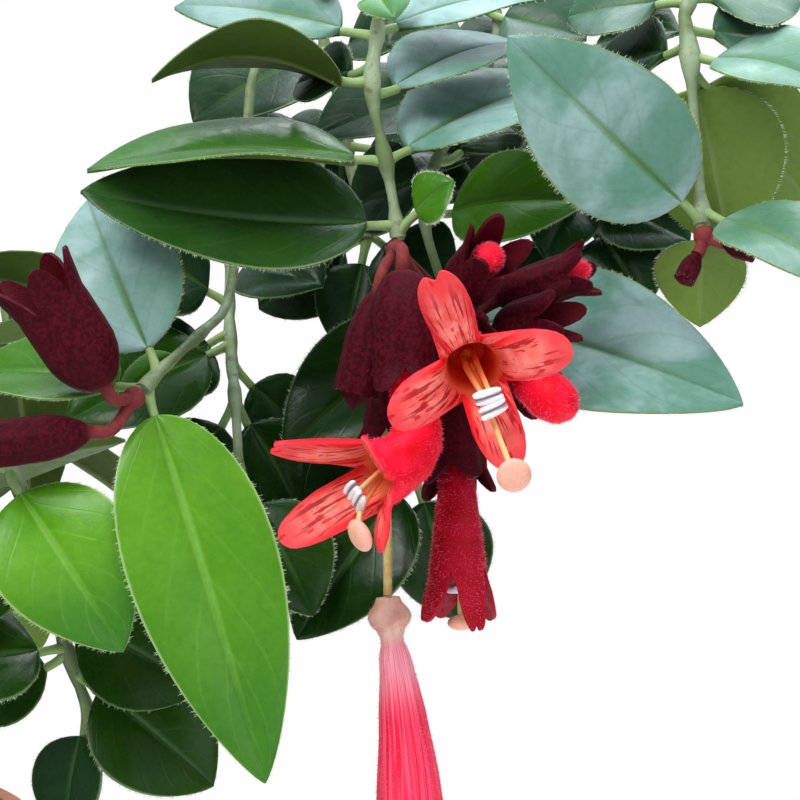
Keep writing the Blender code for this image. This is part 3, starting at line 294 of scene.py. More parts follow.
def tube(points, radii, sides, up=None):
    """Corners and triangles of a tube with a radius at each point."""
    turned = frames(points, up or beside(heading(points)))
    return loft([turned_ring(at, across, upward, r, sides)
                 for (_, upward, across), at, r in zip(turned, points, radii)])


def ball(middle, axis, radius, thick, sides=8, rows=4):
    """Corners and triangles of a round or flattened ball."""
    axis = axis.normalized()
    across = axis.cross(beside(axis)).normalized()
    over = axis.cross(across)
    rings = []
    for k in range(rows + 1):
        a = math.pi * (0.12 + 0.76 * k / rows)
        at = middle - axis * (math.cos(a) * thick)
        rings.append(turned_ring(at, across, over, math.sin(a) * radius, sides))
    return loft(rings)


def stem_line(shoot, step=0.022):
    """Points along a stem and its radius at each, from the bottom of its hole to its tip."""
    line = through(shoot.route, step)
    line.insert(0, line[0] - Vector((0, 0, STEM_HOLE_DEPTH)))
    radii = [STEM_FOOT_RADIUS + (STEM_TIP_RADIUS - STEM_FOOT_RADIUS) * i / (len(line) - 1)
             for i in range(len(line))]
    return line, radii


def on_line(line, point):
    """The point of a line of straight stretches that is nearest to a point."""
    best = None
    for a, b in zip(line, line[1:]):
        share = max(0.0, min(1.0, (point - a).dot(b - a) / (b - a).length_squared))
        near = a.lerp(b, share)
        if best is None or (near - point).length < (best - point).length:
            best = near
    return best


# Walls, the radius at a tube's narrow end, and the floors of cups and throats as shares of their lengths
CUP_WALL = 0.0006
PETAL_WALL = 0.0006
NARROW = 0.0018
CUP_FLOOR = 0.28
THROAT_FLOOR = 0.60


def calyx_frame(knob, calyx, rows, step):
    """A calyx's direction and length, its pedicel's points, and frames at those and at its rows."""
    aim, length = (calyx.mouth - calyx.foot).normalized(), (calyx.mouth - calyx.foot).length
    stalk = through([knob, calyx.foot - aim * ((calyx.foot - knob).length * 0.4), calyx.foot], step)
    line = [*stalk, *[calyx.foot + aim * (length * s) for s in rows]]
    return aim, length, stalk, frames(line, beside(aim))


def calyx_rings(knob, calyx, per_lobe, rows):
    """Rings from the knob along the pedicel, up the outside to the lobes and down the inside."""
    aim, length, stalk, turned = calyx_frame(knob, calyx, rows, (calyx.foot - knob).length / 2)
    last = turned[-1]

    def ring(at, frame, reach, peak=0.0, lean=0.0):
        _, upward, across = frame
        points = []
        for i in range(5 * per_lobe):
            a = 2 * math.pi * i / (5 * per_lobe)
            rise = 0.5 - 0.5 * math.cos(5 * a)
            out = reach + lean * rise
            points.append(at + (across * math.cos(a) + upward * math.sin(a)) * out + aim * peak * rise)
        return points

    rings = [ring(p, f, 0.0009) for p, f in zip(stalk, turned)]
    for s in rows:
        swell = calyx.radius * (0.42 + 0.58 * math.sin(math.pi * min(1.0, 0.15 + s * 0.85) / 2))
        rings.append(ring(calyx.foot + aim * (length * s), last, swell))
    if calyx.shut:
        rings.append(ring(calyx.foot + aim * length * 0.85, last, calyx.radius * 0.80))
        rings.append(ring(calyx.mouth, last, calyx.radius * 0.25))
        return rings
    rings.append(ring(calyx.mouth, last, calyx.radius, calyx.lobe, 0.0012))
    rings.append(ring(calyx.mouth, last, calyx.radius - CUP_WALL, calyx.lobe, 0.0012))
    rings.append(ring(calyx.foot + aim * length * CUP_FLOOR, last, calyx.radius * 0.66 - CUP_WALL))
    return rings


# The five lobes round a mouth, in degrees from the upper lip: two make the hood, then side, lower and side
LOBE_CENTRES = (-16.0, 16.0, 90.0, 180.0, 270.0)
LOBE_HALVES = (18.0, 18.0, 44.0, 42.0, 44.0)
HOOD_HALF = 34


def lobe_at(degrees):
    """Which lobe an angle from the upper lip falls in, and how far to its side, from -1 to 1."""
    for k, (centre, half) in enumerate(zip(LOBE_CENTRES, LOBE_HALVES)):
        off = (degrees - centre + 180) % 360 - 180
        if abs(off) <= half + 1e-6:
            return k, off / half
    return 3, 1.0


def corolla_angles(per_lobe):
    """Angles round the mouth: each lobe's edge and points between its edges."""
    found = []
    for centre, half in zip(LOBE_CENTRES, LOBE_HALVES):
        found += [(centre - half + 2 * half * i / per_lobe) % 360 for i in range(per_lobe)]
    return sorted(found)


def corolla_width(corolla, s):
    """Radius of a corolla's tube at a share of its length."""
    if corolla.fallen:
        bulb = 0.0034 * math.exp(-((s - 0.06) / 0.06) ** 2)
        return max(bulb, NARROW) + (corolla.radius - NARROW) * max(0.0, (s - 0.14) / 0.86) ** 0.8
    return NARROW + (corolla.radius - NARROW) * s ** 1.3


def clock_way(frame, degrees):
    """The way across a line at an angle from its frame's up."""
    _, upward, across = frame
    return upward * math.cos(math.radians(degrees)) + across * math.sin(math.radians(degrees))


def corolla_rings(corolla, per_lobe, tube_rows, lobe_rows, depth_rows):
    """Rings up the outside of the tube, over the lobes and down into the throat."""
    line = through(corolla.route, 0.001)
    turned = frames(line, corolla.up)
    angles = corolla_angles(per_lobe)

    def tube_ring(s, less=0.0):
        i = round(s * (len(line) - 1))
        r = corolla_width(corolla, s) - less
        return [line[i] + clock_way(turned[i], a) * r for a in angles]

    def lobe_ring(share, inside):
        at, along = line[-1], turned[-1][0]
        ring = []
        for a in angles:
            k, off = lobe_at(a)
            out = clock_way(turned[-1], a)
            toward = clock_way(turned[-1], 0 if k < 2 else LOBE_CENTRES[k]) * 0.65 + out * 0.35
            if k < 2:
                span = abs((a + 180) % 360 - 180) / HOOD_HALF
                reach = max(0.0, 1 - min(1.0, span) ** 2.6) ** 0.6
                reach *= 1 - 0.12 * math.exp(-(span / 0.14) ** 2)
            else:
                reach = max(0.0, 1 - abs(off) ** 2.2) ** 0.6
            reach = 0.0008 + corolla.lobes[k] * reach
            flare = math.radians(corolla.flare[k])
            radial, axial = 0.0, 0.0
            for i in range(8):
                turn = flare * (share * (i + 0.5) / 8) ** 0.7
                radial += math.sin(turn) * reach * share / 8
                axial += math.cos(turn) * reach * share / 8
            turn = flare * share ** 0.7
            shift = (toward * math.cos(turn) - along * math.sin(turn)) * (PETAL_WALL if inside else 0.0)
            ring.append(at + out * corolla_width(corolla, 1.0) + toward * radial + along * axial - shift)
        return ring

    rings = [tube_ring(s) for s in tube_rows]
    rings += [lobe_ring(share, False) for share in lobe_rows]
    rings += [lobe_ring(share, True) for share in reversed(lobe_rows)]
    rings += [tube_ring(s, PETAL_WALL) for s in depth_rows]
    return rings


def bud_rings(corolla, sides, rows):
    """Rings of a closed bud that swells to its end."""
    line = through(corolla.route, 0.0005)
    turned = frames(line, corolla.up)
    rings = []
    for s in rows:
        i = round(s * (len(line) - 1))
        end = math.sqrt(max(0.04, 1 - max(0.0, (s - 0.70) / 0.31) ** 2))
        r = corolla.radius * min(1.0, 0.45 + 0.75 * s) * end
        _, upward, across = turned[i]
        rings.append(turned_ring(line[i], upward, across, r, sides))
    return rings


def in_cup(calyx):
    """The first two points of a corolla's route: just over the floor of its calyx, and at its mouth."""
    aim = calyx.mouth - calyx.foot
    return [calyx.foot + aim * CUP_FLOOR + aim.normalized() * SEAT_GAP, calyx.mouth.copy()]


def in_throat(corolla, share):
    """Points up the axis of a throat from just over its floor to the mouth, and its last frame."""
    line = through(corolla.route, 0.001)
    first = round(share * (len(line) - 1))
    last = len(line) - 1
    points = [line[first], line[(2 * first + last) // 3], line[(first + 2 * last) // 3], line[last]]
    points[0] = points[0] + (line[first + 1] - line[first]).normalized() * (SEAT_GAP + 0.0010)
    return points, frames(line, corolla.up)[-1]


# The front's stems. Each has its name, the points of its rise out of the soil, its points as seen, then its
# leaves and its plainer leaves behind those. A leaf is given by the foot and the tip as seen, its width in
# millimetres, its face's direction as seen, how young and brightly lit it is (painted light: low values give
# the near-black green of leaves in shade, a painted shade), how much painted blue grey sky reflection it has,
# and, where they aren't the usual ones, its arch and its fold in degrees.
FRONT_STEMS = (
    ("shoot_front_hanging",
     ((0.024, -0.01, SOIL_TOP), (0.03, -0.016, 0.16), (0.038, -0.024, 0.232), (0.062, -0.032, 0.265),
      (0.092, -0.036, 0.267)),
     ((-4.6, 66, 4), (-3.3, 57, 2), (-4.2, 49.5, 0), (-3.9, 44, 0), (-2.2, 36, 0), (-0.9, 29, 1),
      (-0.3, 24.4, 1)),
     (((-4.4, 47.6, 0), (-37.3, 47.8, -3), 21, (0.12, 0.93, 0.2), 0.15, 0, 0.16, 8),
      ((-3.9, 45.5, 0), (19, 53, 16), 17, (-0.25, 0.75, -0.6), 0.1, 0.85, 0.08),
      ((-2.3, 36.2, 0), (-47, 34.3, -4), 24, (0.05, 0.93, -0.33), 0.3, 0.05),
      ((-2.2, 36, 0), (26, 47.5, 16), 22, (-0.25, 0.75, -0.6), 0.15, 0.85, 0.06),
      ((-0.5, 25.8, 1), (-48, 31.2, -5), 23.5, (0, 0.62, -0.78), 0.1, 0.02, -0.05, 14),
      ((-0.4, 25.4, 1), (8.2, 32.8, -4), 9, (-0.5, 0.35, -0.8), 0.45, 0, 0.03),
      ((-3.6, 54.6, 2), (-34, 59, 6), 20, (0, 0.8, -0.6), 0.08, 0.6)),
     (((-3.6, 55, 2), (23.5, 60.5, 12), 19, (-0.1, 0.85, -0.5), 0.1, 0.8, 0.06),
      ((-4.2, 63, 3), (-0.8, 57, -4), 8.5, (0, 0.6, -0.75), 0.55, 0.3, 0.03),
      ((-3.9, 49.5, 0.5), (-15.5, 47, 12), 12, (0, 0.5, -0.85), 0, 0.02),
      ((-4.5, 64, 3.5), (-12, 62.5, 14), 9, (0, 0.5, -0.85), 0, 0.02))),
    ("shoot_front_middle",
     ((0.032, 0.004, SOIL_TOP), (0.036, 0.006, 0.16), (0.044, 0.006, 0.236), (0.072, 0.002, 0.272),
      (0.108, -0.002, 0.27)),
     ((13, 62, 34), (11.5, 46, 32), (5.5, 36, 30), (3.6, 28, 28), (5.8, 19, 24), (9, 11, 22), (5, -3, 22),
      (2, -12, 20)),
     (((3.6, 27.8, 28), (28, 29.6, 17), 17.5, (-0.2, 0.5, -0.85), 0.62, 0, 0.08),
      ((9.3, 15.4, 17), (52, -0.8, 7), 27.5, (0.22, 0.52, -0.82), 0.12, 0.9, 0.05, 10),
      ((9, 14, 17), (-17.5, -8, 16), 20, (-0.3, 0.25, -0.9), 0.02, 0),
      ((2.3, -10.5, 17), (-15.5, -36, 17), 19, (-0.2, 0.2, -0.95), 0.02, 0),
      ((2, -11, 17), (8.5, -33, 22), 17, (0.2, 0.2, -0.95), 0.02, 0),
      ((11.8, 47, 32), (-13, 39, 27), 20, (0, 0.75, -0.6), 0, 0.02),
      ((11.6, 46, 32), (34, 37, 34), 20, (0.1, 0.7, -0.7), 0, 0.02)),
     (((12.8, 58, 33.6), (28, 54, 28), 19, (0, 0.6, -0.8), 0.02, 0.2),
      ((12.8, 58.5, 33.6), (-2, 53, 30), 19, (0, 0.6, -0.8), 0.02, 0.1),
      ((5.2, 35.6, 30), (14, 43.5, 36), 17, (0, 0.5, -0.85), 0, 0.02),
      ((5, 35, 30), (-8, 28, 38), 18, (0, 0.5, -0.85), 0, 0.02),
      ((5.6, -1, 21.6), (-14.5, -17.5, 25), 15, (-0.2, 0.3, -0.9), 0, 0.02))),
    ("shoot_front_right",
     ((0.03, 0.02, SOIL_TOP), (0.032, 0.022, 0.16), (0.042, 0.022, 0.24), (0.078, 0.012, 0.277),
      (0.126, -0.008, 0.276)),
     ((40.5, 68, 12), (42.7, 57, 8), (43.5, 51.8, 6), (43.8, 46.5, 5), (44.7, 36, 5), (45.3, 26.3, 3)),
     (((43.5, 52, 6), (66, 45.5, -4), 19, (0.1, 0.8, -0.6), 0.25, 0.6, 0.1),
      ((43.6, 51, 6), (49.5, 22, 17), 23, (0.25, -0.15, 0.95), 0.35, 0, 0.03),
      ((43.7, 49.5, 6), (63, 29, 20), 20, (0.3, -0.05, 0.9), 0.35, 0, 0.04),
      ((42.3, 60, 9), (25, 57, 16), 19, (-0.1, 0.7, -0.7), 0.08, 0.3, 0.06),
      ((42.3, 60.5, 9), (60, 59.5, 14), 19, (0.1, 0.7, -0.7), 0.08, 0.3, 0.06),
      ((45.25, 26.9, 3), (16.2, 54.6, -8), 22.5, (-0.45, 0.22, -0.86), 0.18, 0.9, 0.05, 9),
      ((45.25, 28.6, 3), (67.5, 16, -8), 18, (0.15, 0.72, -0.68), 0.25, 0.5, 0.08),
      ((45.2, 28.2, 3), (45.2, 11, 8), 14, (0.1, 0.15, 0.95), 0.35, 0, 0.04)),
     (((43.4, 53, 6.4), (28, 48, 21), 17, (0, 0.6, -0.8), 0, 0.02),
      ((43, 55.5, 7.4), (59, 53.5, 14), 14, (0, 0.6, -0.8), 0.05, 0.3))),
    ("shoot_front_hooked",
     ((0.04, -0.014, SOIL_TOP), (0.04, -0.008, 0.16), (0.046, -0.002, 0.23), (0.066, 0, 0.257)),
     ((-21.5, 62, 34), (-22.5, 46, 33), (-24, 28, 25), (-25.8, 15, 15), (-29.3, 10.5, 8), (-34.8, 5.6, 0),
      (-38.7, 1.4, -6)),
     (((-38.3, 2.2, -5.2), (-20.2, -57.6, -13), 22.5, (0.18, 0.1, -0.95), 0.8, 0, 0.04, 9),
      ((-38.5, 2, -5.4), (-68, 3, -2), 22, (0.05, 0.85, -0.5), 0.42, 0, 0.06),
      ((-30.5, 9.3, 6.6), (-42.5, -0.5, 1), 9.5, (-0.75, 0.35, -0.5), 0.65, 0, 0.03),
      ((-36.5, 3.3, -1.5), (-46.8, 30, 10), 21, (-0.25, 0.25, -0.93), 0.1, 0.8, 0.05, 14)),
     ()),
    ("shoot_front_plumb",
     ((0.04, 0.012, SOIL_TOP), (0.041, 0.016, 0.16), (0.048, 0.018, 0.232), (0.068, 0.017, 0.262)),
     ((-19.5, 60, 66), (-24, 40, 62), (-25.6, 16, 40), (-24.6, -2, 20), (-24, -13, 15)),
     (((-24.6, 1.2, 21.5), (-15.6, -18, 18), 15, (0.5, 0.2, -0.8), 0.02, 0),
      ((-24.1, -12, 15), (-13, -32.5, 10), 17, (0.4, 0.1, -0.9), 0.05, 0),
      ((-24.2, -12, 15), (-37, -35, 12), 18, (-0.3, 0.1, -0.95), 0.02, 0),
      ((-25.9, 18.5, 34), (-45, 24, 30), 20, (-0.1, 0.6, -0.8), 0, 0.02, 0.06),
      ((-24.2, 39.5, 62), (-9, 33, 62), 20, (0.1, 0.6, -0.8), 0, 0.02, 0.06)),
     (((-24.7, 0.8, 21.5), (-35.5, -19.5, 24), 18, (-0.3, 0.15, -0.95), 0.02, 0),
      ((-25.3, 12.4, 31.5), (-38, 2.5, 30), 17, (-0.2, 0.3, -0.9), 0, 0),
      ((-26.6, 27, 39), (-11.5, 17, 34), 18, (0.1, 0.5, -0.85), 0, 0.02),
      ((-25, 5.5, 27), (-14.5, -6, 28), 12, (0.1, 0.4, -0.9), 0.02, 0),
      ((-25.4, 9.5, 30), (-50, -3.5, 26), 18, (-0.1, 0.4, -0.9), 0.1, 0))),
    ("shoot_front_low",
     ((0.036, -0.029, SOIL_TOP), (0.043, -0.04, 0.132), (0.05, -0.046, 0.158), (0.059, -0.047, 0.174)),
     ((-58.5, -9.5, -6), (-55.5, -17, -4), (-53, -28, 2), (-49.5, -39, 6), (-46.5, -47, 8)),
     (((-58.3, -10, -6), (-41.5, -37.8, -13), 21, (0.1, 0.2, -0.95), 0.95, 0, 0.06, 10),
      ((-58.6, -10, -6), (-86, -4, -4), 20, (-0.1, 0.8, -0.5), 0.4, 0.05, 0.06),
      ((-50.5, -37, 5), (-75, -42.5, -2), 20, (-0.1, 0.66, -0.72), 0.12, 0, 0.06),
      ((-48.5, -40.6, 6.5), (-28, -58, 10), 21, (0.4, 0.25, -0.85), 0.1, 0),
      ((-46.9, -46, 7.8), (-50, -66, 4), 15, (-0.6, 0.1, -0.75), 0.04, 0.05)),
     (((-51.8, -31, 3.2), (-29.5, -43, 15), 20, (0.2, 0.35, -0.9), 0.08, 0),
      ((-52.6, -29, 2.4), (-78, -28, 6), 19, (-0.1, 0.6, -0.8), 0.1, 0),
      ((-50, -38.3, 5.6), (-66, -46.5, 10), 14, (-0.1, 0.4, -0.9), 0.08, 0))),
    ("shoot_back_left",
     ((0.022, 0.03, SOIL_TOP), (0.026, 0.034, 0.17), (0.038, 0.034, 0.245), (0.074, 0.026, 0.277)),
     ((-16, 64, 54), (-11, 52, 54), (-8, 38, 50), (-5, 24, 44)),
     (((-11, 52, 54), (-31, 41.5, 40), 24, (-0.2, 0.62, -0.75), 0, 0.02),
      ((-11, 51.5, 54), (8, 58, 44), 20, (0.1, 0.7, -0.7), 0, 0.02, 0.06),
      ((-8, 39, 50), (-27, 32, 46), 20, (-0.1, 0.6, -0.8), 0, 0.02, 0.06),
      ((-8, 38, 50), (10.5, 36, 42), 20, (0.1, 0.6, -0.8), 0, 0.02, 0.06),
      ((-5.4, 26, 45), (-22, 22.5, 40), 18, (-0.1, 0.5, -0.85), 0, 0.02),
      ((-5.2, 25.2, 44.6), (7.5, 16, 38), 17, (0.1, 0.4, -0.9), 0, 0.02)),
     (((-8.6, 41, 51), (-9.5, 23, 43), 21, (0, 0.3, -0.95), 0, 0.02),
      ((-5.2, 24.8, 44.6), (-21.5, 13.8, 40), 18, (-0.1, 0.4, -0.9), 0, 0.02),
      ((-5, 23.8, 44), (-8.5, 7, 40), 13, (0, 0.3, -0.95), 0, 0.02),
      ((-7, 34, 48.6), (12.5, 31, 42), 14, (0.1, 0.5, -0.85), 0, 0.02))),
    ("shoot_back_right",
     ((0.026, 0.04, SOIL_TOP), (0.03, 0.044, 0.175), (0.046, 0.044, 0.252), (0.092, 0.034, 0.284)),
     ((22, 66, 62), (25, 52, 60), (27, 38, 54), (28, 25, 48)),
     (((25, 52.5, 60), (7, 49, 50), 21, (-0.1, 0.7, -0.7), 0, 0.02, 0.06),
      ((25, 52, 60), (42, 55, 48), 20, (0.1, 0.7, -0.7), 0, 0.02, 0.06),
      ((27, 39, 54.5), (10, 28, 46), 20, (-0.2, 0.5, -0.85), 0, 0.02, 0.06),
      ((27, 38.4, 54), (44, 31, 44), 20, (0.2, 0.5, -0.85), 0, 0.02, 0.06),
      ((28, 27, 49), (37, 14, 40), 18, (0.2, 0.3, -0.9), 0, 0.02),
      ((28, 26.4, 48.6), (20, 10, 40), 18, (-0.2, 0.3, -0.9), 0, 0.02)),
     (((24, 57, 61), (41, 66, 52), 22, (0.1, 0.6, -0.8), 0, 0.02),
      ((23.6, 58.5, 61.3), (7, 66, 52), 20, (-0.1, 0.6, -0.8), 0, 0.02),
      ((27.6, 31.5, 51), (43.5, 23.5, 44), 18, (0.1, 0.5, -0.85), 0, 0.02),
      ((27, 37.4, 53.6), (12, 38, 47), 19, (-0.1, 0.5, -0.85), 0, 0.02),
      ((27.5, 33, 52), (21.5, 21, 46), 13, (0, 0.4, -0.9), 0, 0.02))))


def front_shoots():
    """The eight stems at the front right, leaf by leaf."""
    def leaf(plain, foot, tip, width, face, young, bloom, arch=0.05, fold=12.0):
        return Leaf(seen(*foot), seen(*tip), width / 1000, facing(*face), arch, fold, plain, (young, bloom))

    shoots = []
    for name, rise, route, leaves, behind in FRONT_STEMS:
        shoots.append(Shoot(name, [*[Vector(p) for p in rise], *[seen(*p) for p in route]]))
        shoots[-1].leaves = [leaf(False, *row) for row in leaves] + [leaf(True, *row) for row in behind]
    return shoots


def front_clusters(shoots):
    """The flowers in the middle of the front, the calyces left of them and the small buds right of them."""
    def calyx(foot, mouth, radius, lobe=4.5, shut=False):
        return Calyx(seen(*foot), seen(*mouth), radius / 1000, lobe / 1000, shut)

    ends = {shoot.name: shoot.route[-1] for shoot in shoots}
    cups = [
        calyx((-3.2, 16.2, -4.5), (-7.0, -0.4, -4.5), 3.3, shut=True),
        calyx((0.4, 19.5, -6.5), (0.8, 4.8, -7.0), 5.0, 3.6),
        calyx((8.6, 15.8, 1.0), (12.9, 20.8, -6.0), 4.2, 5.0),
        calyx((14.6, 15.0, 7.5), (25.4, 18.8, 4.5), 3.4, 3.6),
        calyx((14.5, 10.4, 3.6), (21.8, 12.4, -1.0), 3.7, 4.6),
        calyx((7.2, 13.5, 6.5), (9.2, 9.0, -4.5), 4.8, 3.6),
        calyx((7.5, 2.0, 9.0), (8.4, -10.5, 3.0), 4.6, 3.6),
        calyx((13.4, 8.0, 11.0), (18.6, 3.4, 4.0), 4.4, 3.6),
        calyx((0.0, 10.0, 9.0), (-2.0, -4.5, 7.0), 3.6, 3.6)]
    flowers = [
        Corolla("corolla_facing", [*in_cup(cups[5]), seen(10.3, 6.4, -11), seen(10.9, 4.8, -16)],
                facing(-0.38, 0.90, -0.2), 0.0046, (0.0192, 0.0192, 0.0118, 0.0125, 0.0125),
                (86, 86, 88, 80, 88)),
        Corolla("corolla_left", [*in_cup(cups[1]), seen(2.2, -1.2, -8.4), seen(2.4, -6.0, -10.4),
                                 seen(0.2, -9.4, -12.6), seen(-2.8, -10.8, -14.2)],
                facing(-0.10, 0.85, 0.5), 0.0050, (0.0135, 0.0135, 0.0150, 0.0085, 0.0060),
                (36, 36, 40, 80, 84)),
        Corolla("corolla_down", [*in_cup(cups[6]), seen(8.6, -17.5, 1.0), seen(8.7, -24.5, 0.5)],
                facing(0.5, 0.1, -0.85), 0.0042, (0.0095, 0.0095, 0.0080, 0.0075, 0.0080),
                (12, 12, 22, 20, 22)),
        Corolla("bud_round", [*in_cup(cups[7]), seen(22.4, 0.6, 0.0), seen(26.2, -2.2, -1.0)],
                facing(0, 1, 0), 0.0038, bud=True),
        Corolla("bud_small", [*in_cup(cups[2]), seen(13.7, 21.8, -9.4)],
                facing(0, 1, 0), 0.0024, bud=True),
        Corolla("bud_pale", [*in_cup(cups[3]), seen(28.4, 20.0, 3.6)],
                facing(0, 1, 0), 0.0020, bud=True),
        Corolla("corolla_fallen", [seen(-1.8, -29.6, 6), seen(-1.3, -35.0, 6), seen(0.0, -44.0, 5),
                                   seen(1.2, -56.0, 4), seen(1.8, -70.0, 3), seen(1.0, -76.0, 1)],
                facing(0.7, 0, -0.7), 0.0068, (0.0080, 0.0080, 0.0070, 0.0070, 0.0070),
                (16, 16, 30, 26, 30), fallen=True)]
    throats = [in_throat(flower, THROAT_FLOOR)[0] for flower in flowers[:3]]
    stamens = [
        Stamens("stamens_facing", throats[0], seen(13.6, -0.4, -25), seen(17.1, -11.3, -25.5)),
        Stamens("stamens_left", throats[1], seen(-7.0, -14.4, -18.5), seen(-6.0, -20.3, -20.0)),
        Stamens("stamens_down", throats[2], seen(9.2, -28.7, -0.6), seen(9.2, -33.4, 0.4))]
    main = Cluster("calyces_main", ends["shoot_front_hanging"] + facing(-0.1, -0.9, -0.4) * 0.0022,
                   cups, flowers, stamens)
    left = Cluster("calyces_left", ends["shoot_front_hooked"] + facing(-0.45, -0.45, -0.77) * 0.0023, [
        calyx((-44.2, 2.0, -12.0), (-52.5, 14.5, -15.0), 5.4, 6.0),
        calyx((-46.6, -4.8, -11.0), (-62.0, -6.8, -13.5), 3.4, shut=True)], [], [])
    right = Cluster("calyces_right", ends["shoot_front_right"] + facing(0.1, -0.8, -0.6) * 0.0023, [
        calyx((48.6, 23.6, 0.2), (53.6, 22.4, -1.8), 1.9, shut=True),
        calyx((44.6, 21.8, 0.2), (42.4, 17.6, -1.6), 1.6, shut=True)], [], [])
    return [main, left, right]


def arching_route(degrees, reach, peak, end, start, wobble):
    """A stem that rises from the soil, arches outwards and comes down to a height."""
    out = Vector((math.cos(math.radians(degrees)), math.sin(math.radians(degrees)), 0))
    across = Vector((-out.y, out.x, 0))
    bends = [out * start + Vector((0, 0, SOIL_TOP)),
             out * (start + reach * 0.12) + Vector((0, 0, SOIL_TOP + peak * 0.85)),
             out * (reach * 0.90) + Vector((0, 0, SOIL_TOP + peak * 1.25)), out * reach + Vector((0, 0, end))]
    points = []
    for i in range(7):
        t = i / 6
        p = (bends[0] * (1 - t) ** 3 + bends[1] * 3 * t * (1 - t) ** 2
             + bends[2] * 3 * t * t * (1 - t) + bends[3] * t ** 3)
        points.append(p + across * (wobble * math.sin(math.pi * t) * t))
    return points


# Degrees round the pot, reach from its axis, height of the arch over the soil, height of the tip, flowers
OTHER_STEMS = (
    (70, 0.142, 0.124, 0.130, 0), (96, 0.150, 0.118, 0.114, 2), (125, 0.136, 0.136, 0.140, 0),
    (154, 0.152, 0.114, 0.100, 2), (187, 0.138, 0.136, 0.134, 0), (219, 0.150, 0.116, 0.104, 2),
    (252, 0.140, 0.130, 0.126, 0), (285, 0.118, 0.122, 0.128, 0), (40, 0.046, 0.150, 0.250, 0),
    (150, 0.058, 0.150, 0.246, 0), (262, 0.056, 0.150, 0.246, 0))


def leaf_ways(along, index, dice):
    """Ways, size shares, tilts and arches of two opposite leaves, turned a quarter from the last pair."""
    across = along.cross(Vector((0, 0, 1)))
    across = across.normalized() if across.length > 0.05 else Vector((1, 0, 0))
    over = across.cross(along).normalized()
    turn = math.radians(90 * (index % 2) + dice.uniform(-28, 28))
    pair = []
    for hand in (1, -1):
        out = (across * math.cos(turn) + over * math.sin(turn)) * hand
        way = out + along * dice.uniform(0.35, 0.65) + Vector((0, 0, dice.uniform(-0.30, 0.02)))
        pair.append((way.normalized(), dice.uniform(0.86, 1.10), dice.uniform(-0.15, 0.15),
                     dice.uniform(0.03, 0.09)))
    return pair


# Shifts of a front leaf's tip in millimetres and turns of a stem in degrees, tried in this order
TIP_SHIFTS = (0, 2, -2, 4, -4, 6, -6, 9, -9, 12, -12)
STEM_TURNS = (0, 3, -3, 6, -6, 9, -9)

# Turns in degrees, sideways and upwards, that a leaf tries in this order, and the sizes that it tries
SHRINKS = (1.0, 0.85, 0.72)
TURNS = ((0, 0), (18, 0), (-18, 0), (0, 18), (0, -18), (30, 14), (-30, 14), (30, -16), (-30, -16),
         (0, 34), (46, 0), (-46, 0), (0, -34))


class Space:
    """What stands already, so that later leaves and stems keep clear of it."""

    def __init__(self):
        self.solids = []

    def add(self, owner, shape, own_only=None):
        corners, faces = shape
        middle = sum(corners, Vector()) / len(corners)
        reach = max((p - middle).length for p in corners)
        self.solids.append((owner, own_only, middle, reach, BVHTree.FromPolygons(corners, faces)))

    def add_stem(self, shoot):
        line, radii = stem_line(shoot)
        self.add(shoot.name, tube(line[2:], [r + LEAF_CLEARANCE for r in radii[2:]], 6))

    def add_cluster(self, cluster):
        for shape in cluster_solids(cluster) + [corolla_solid(flower) for flower in cluster.corollas]:
            self.add(cluster.name, shape)

    def add_leaf(self, owner, leaf):
        self.add(owner, leaf_solid(leaf), False)
        self.add(owner, leaf_solid(leaf, bare=True), True)

    def touched(self, owner, shape, own):
        """Whether a shape meets its owner's own solids or, if not own, any of the others."""
        corners, faces = shape
        middle = sum(corners, Vector()) / len(corners)
        reach = max((p - middle).length for p in corners)
        tree = BVHTree.FromPolygons(corners, faces)
        for other, own_only, at, far, solid in self.solids:
            if (other == owner) != own or own_only == (not own):
                continue
            if (at - middle).length < reach + far and tree.overlap(solid):
                return True
        return False

    def free_for(self, owner, leaf):
        """Whether a leaf keeps clear of other pieces and, but for its petiole, of its own shoot."""
        if self.touched(owner, leaf_solid(leaf, LEAF_CLEARANCE), False):
            return False
        return not self.touched(owner, leaf_solid(leaf, LEAF_CLEARANCE / 3, True), True)


# Where later leaves may not be, as seen, by the left, right, lower and upper edge in millimetres: the gaps
# round the front's flowers at any depth, and the whole front but for what is well behind it
OPEN = math.inf
GAPS = ((16, OPEN, -OPEN, -2), (49, OPEN, -OPEN, 18), (-20, 17, -OPEN, -37), (-25, -11, -4, 13),
        (-75, -36, 41, OPEN), (-75, -46, 24, OPEN))
FRONT_WINDOW = (-64, 78, -72, 72)
FRONT_DEPTH = 0.016
LEAST_HEIGHT = 0.012


def in_clear_space(corners):
    """Whether points come before the front's flowers or into the gaps round them, or near the ground."""
    for p in corners:
        off = p - FRONT_MIDDLE
        behind = off.dot(LOOK)
        spread = FRONT_DISTANCE / (FRONT_DISTANCE + behind) * 1000
        right, up = off.x * spread, off.dot(RISE) * spread
        windows = (*GAPS, FRONT_WINDOW) if behind < FRONT_DEPTH else GAPS
        if p.z < LEAST_HEIGHT or any(a < right < b and c < up < d for a, b, c, d in windows):
            return True
    return False


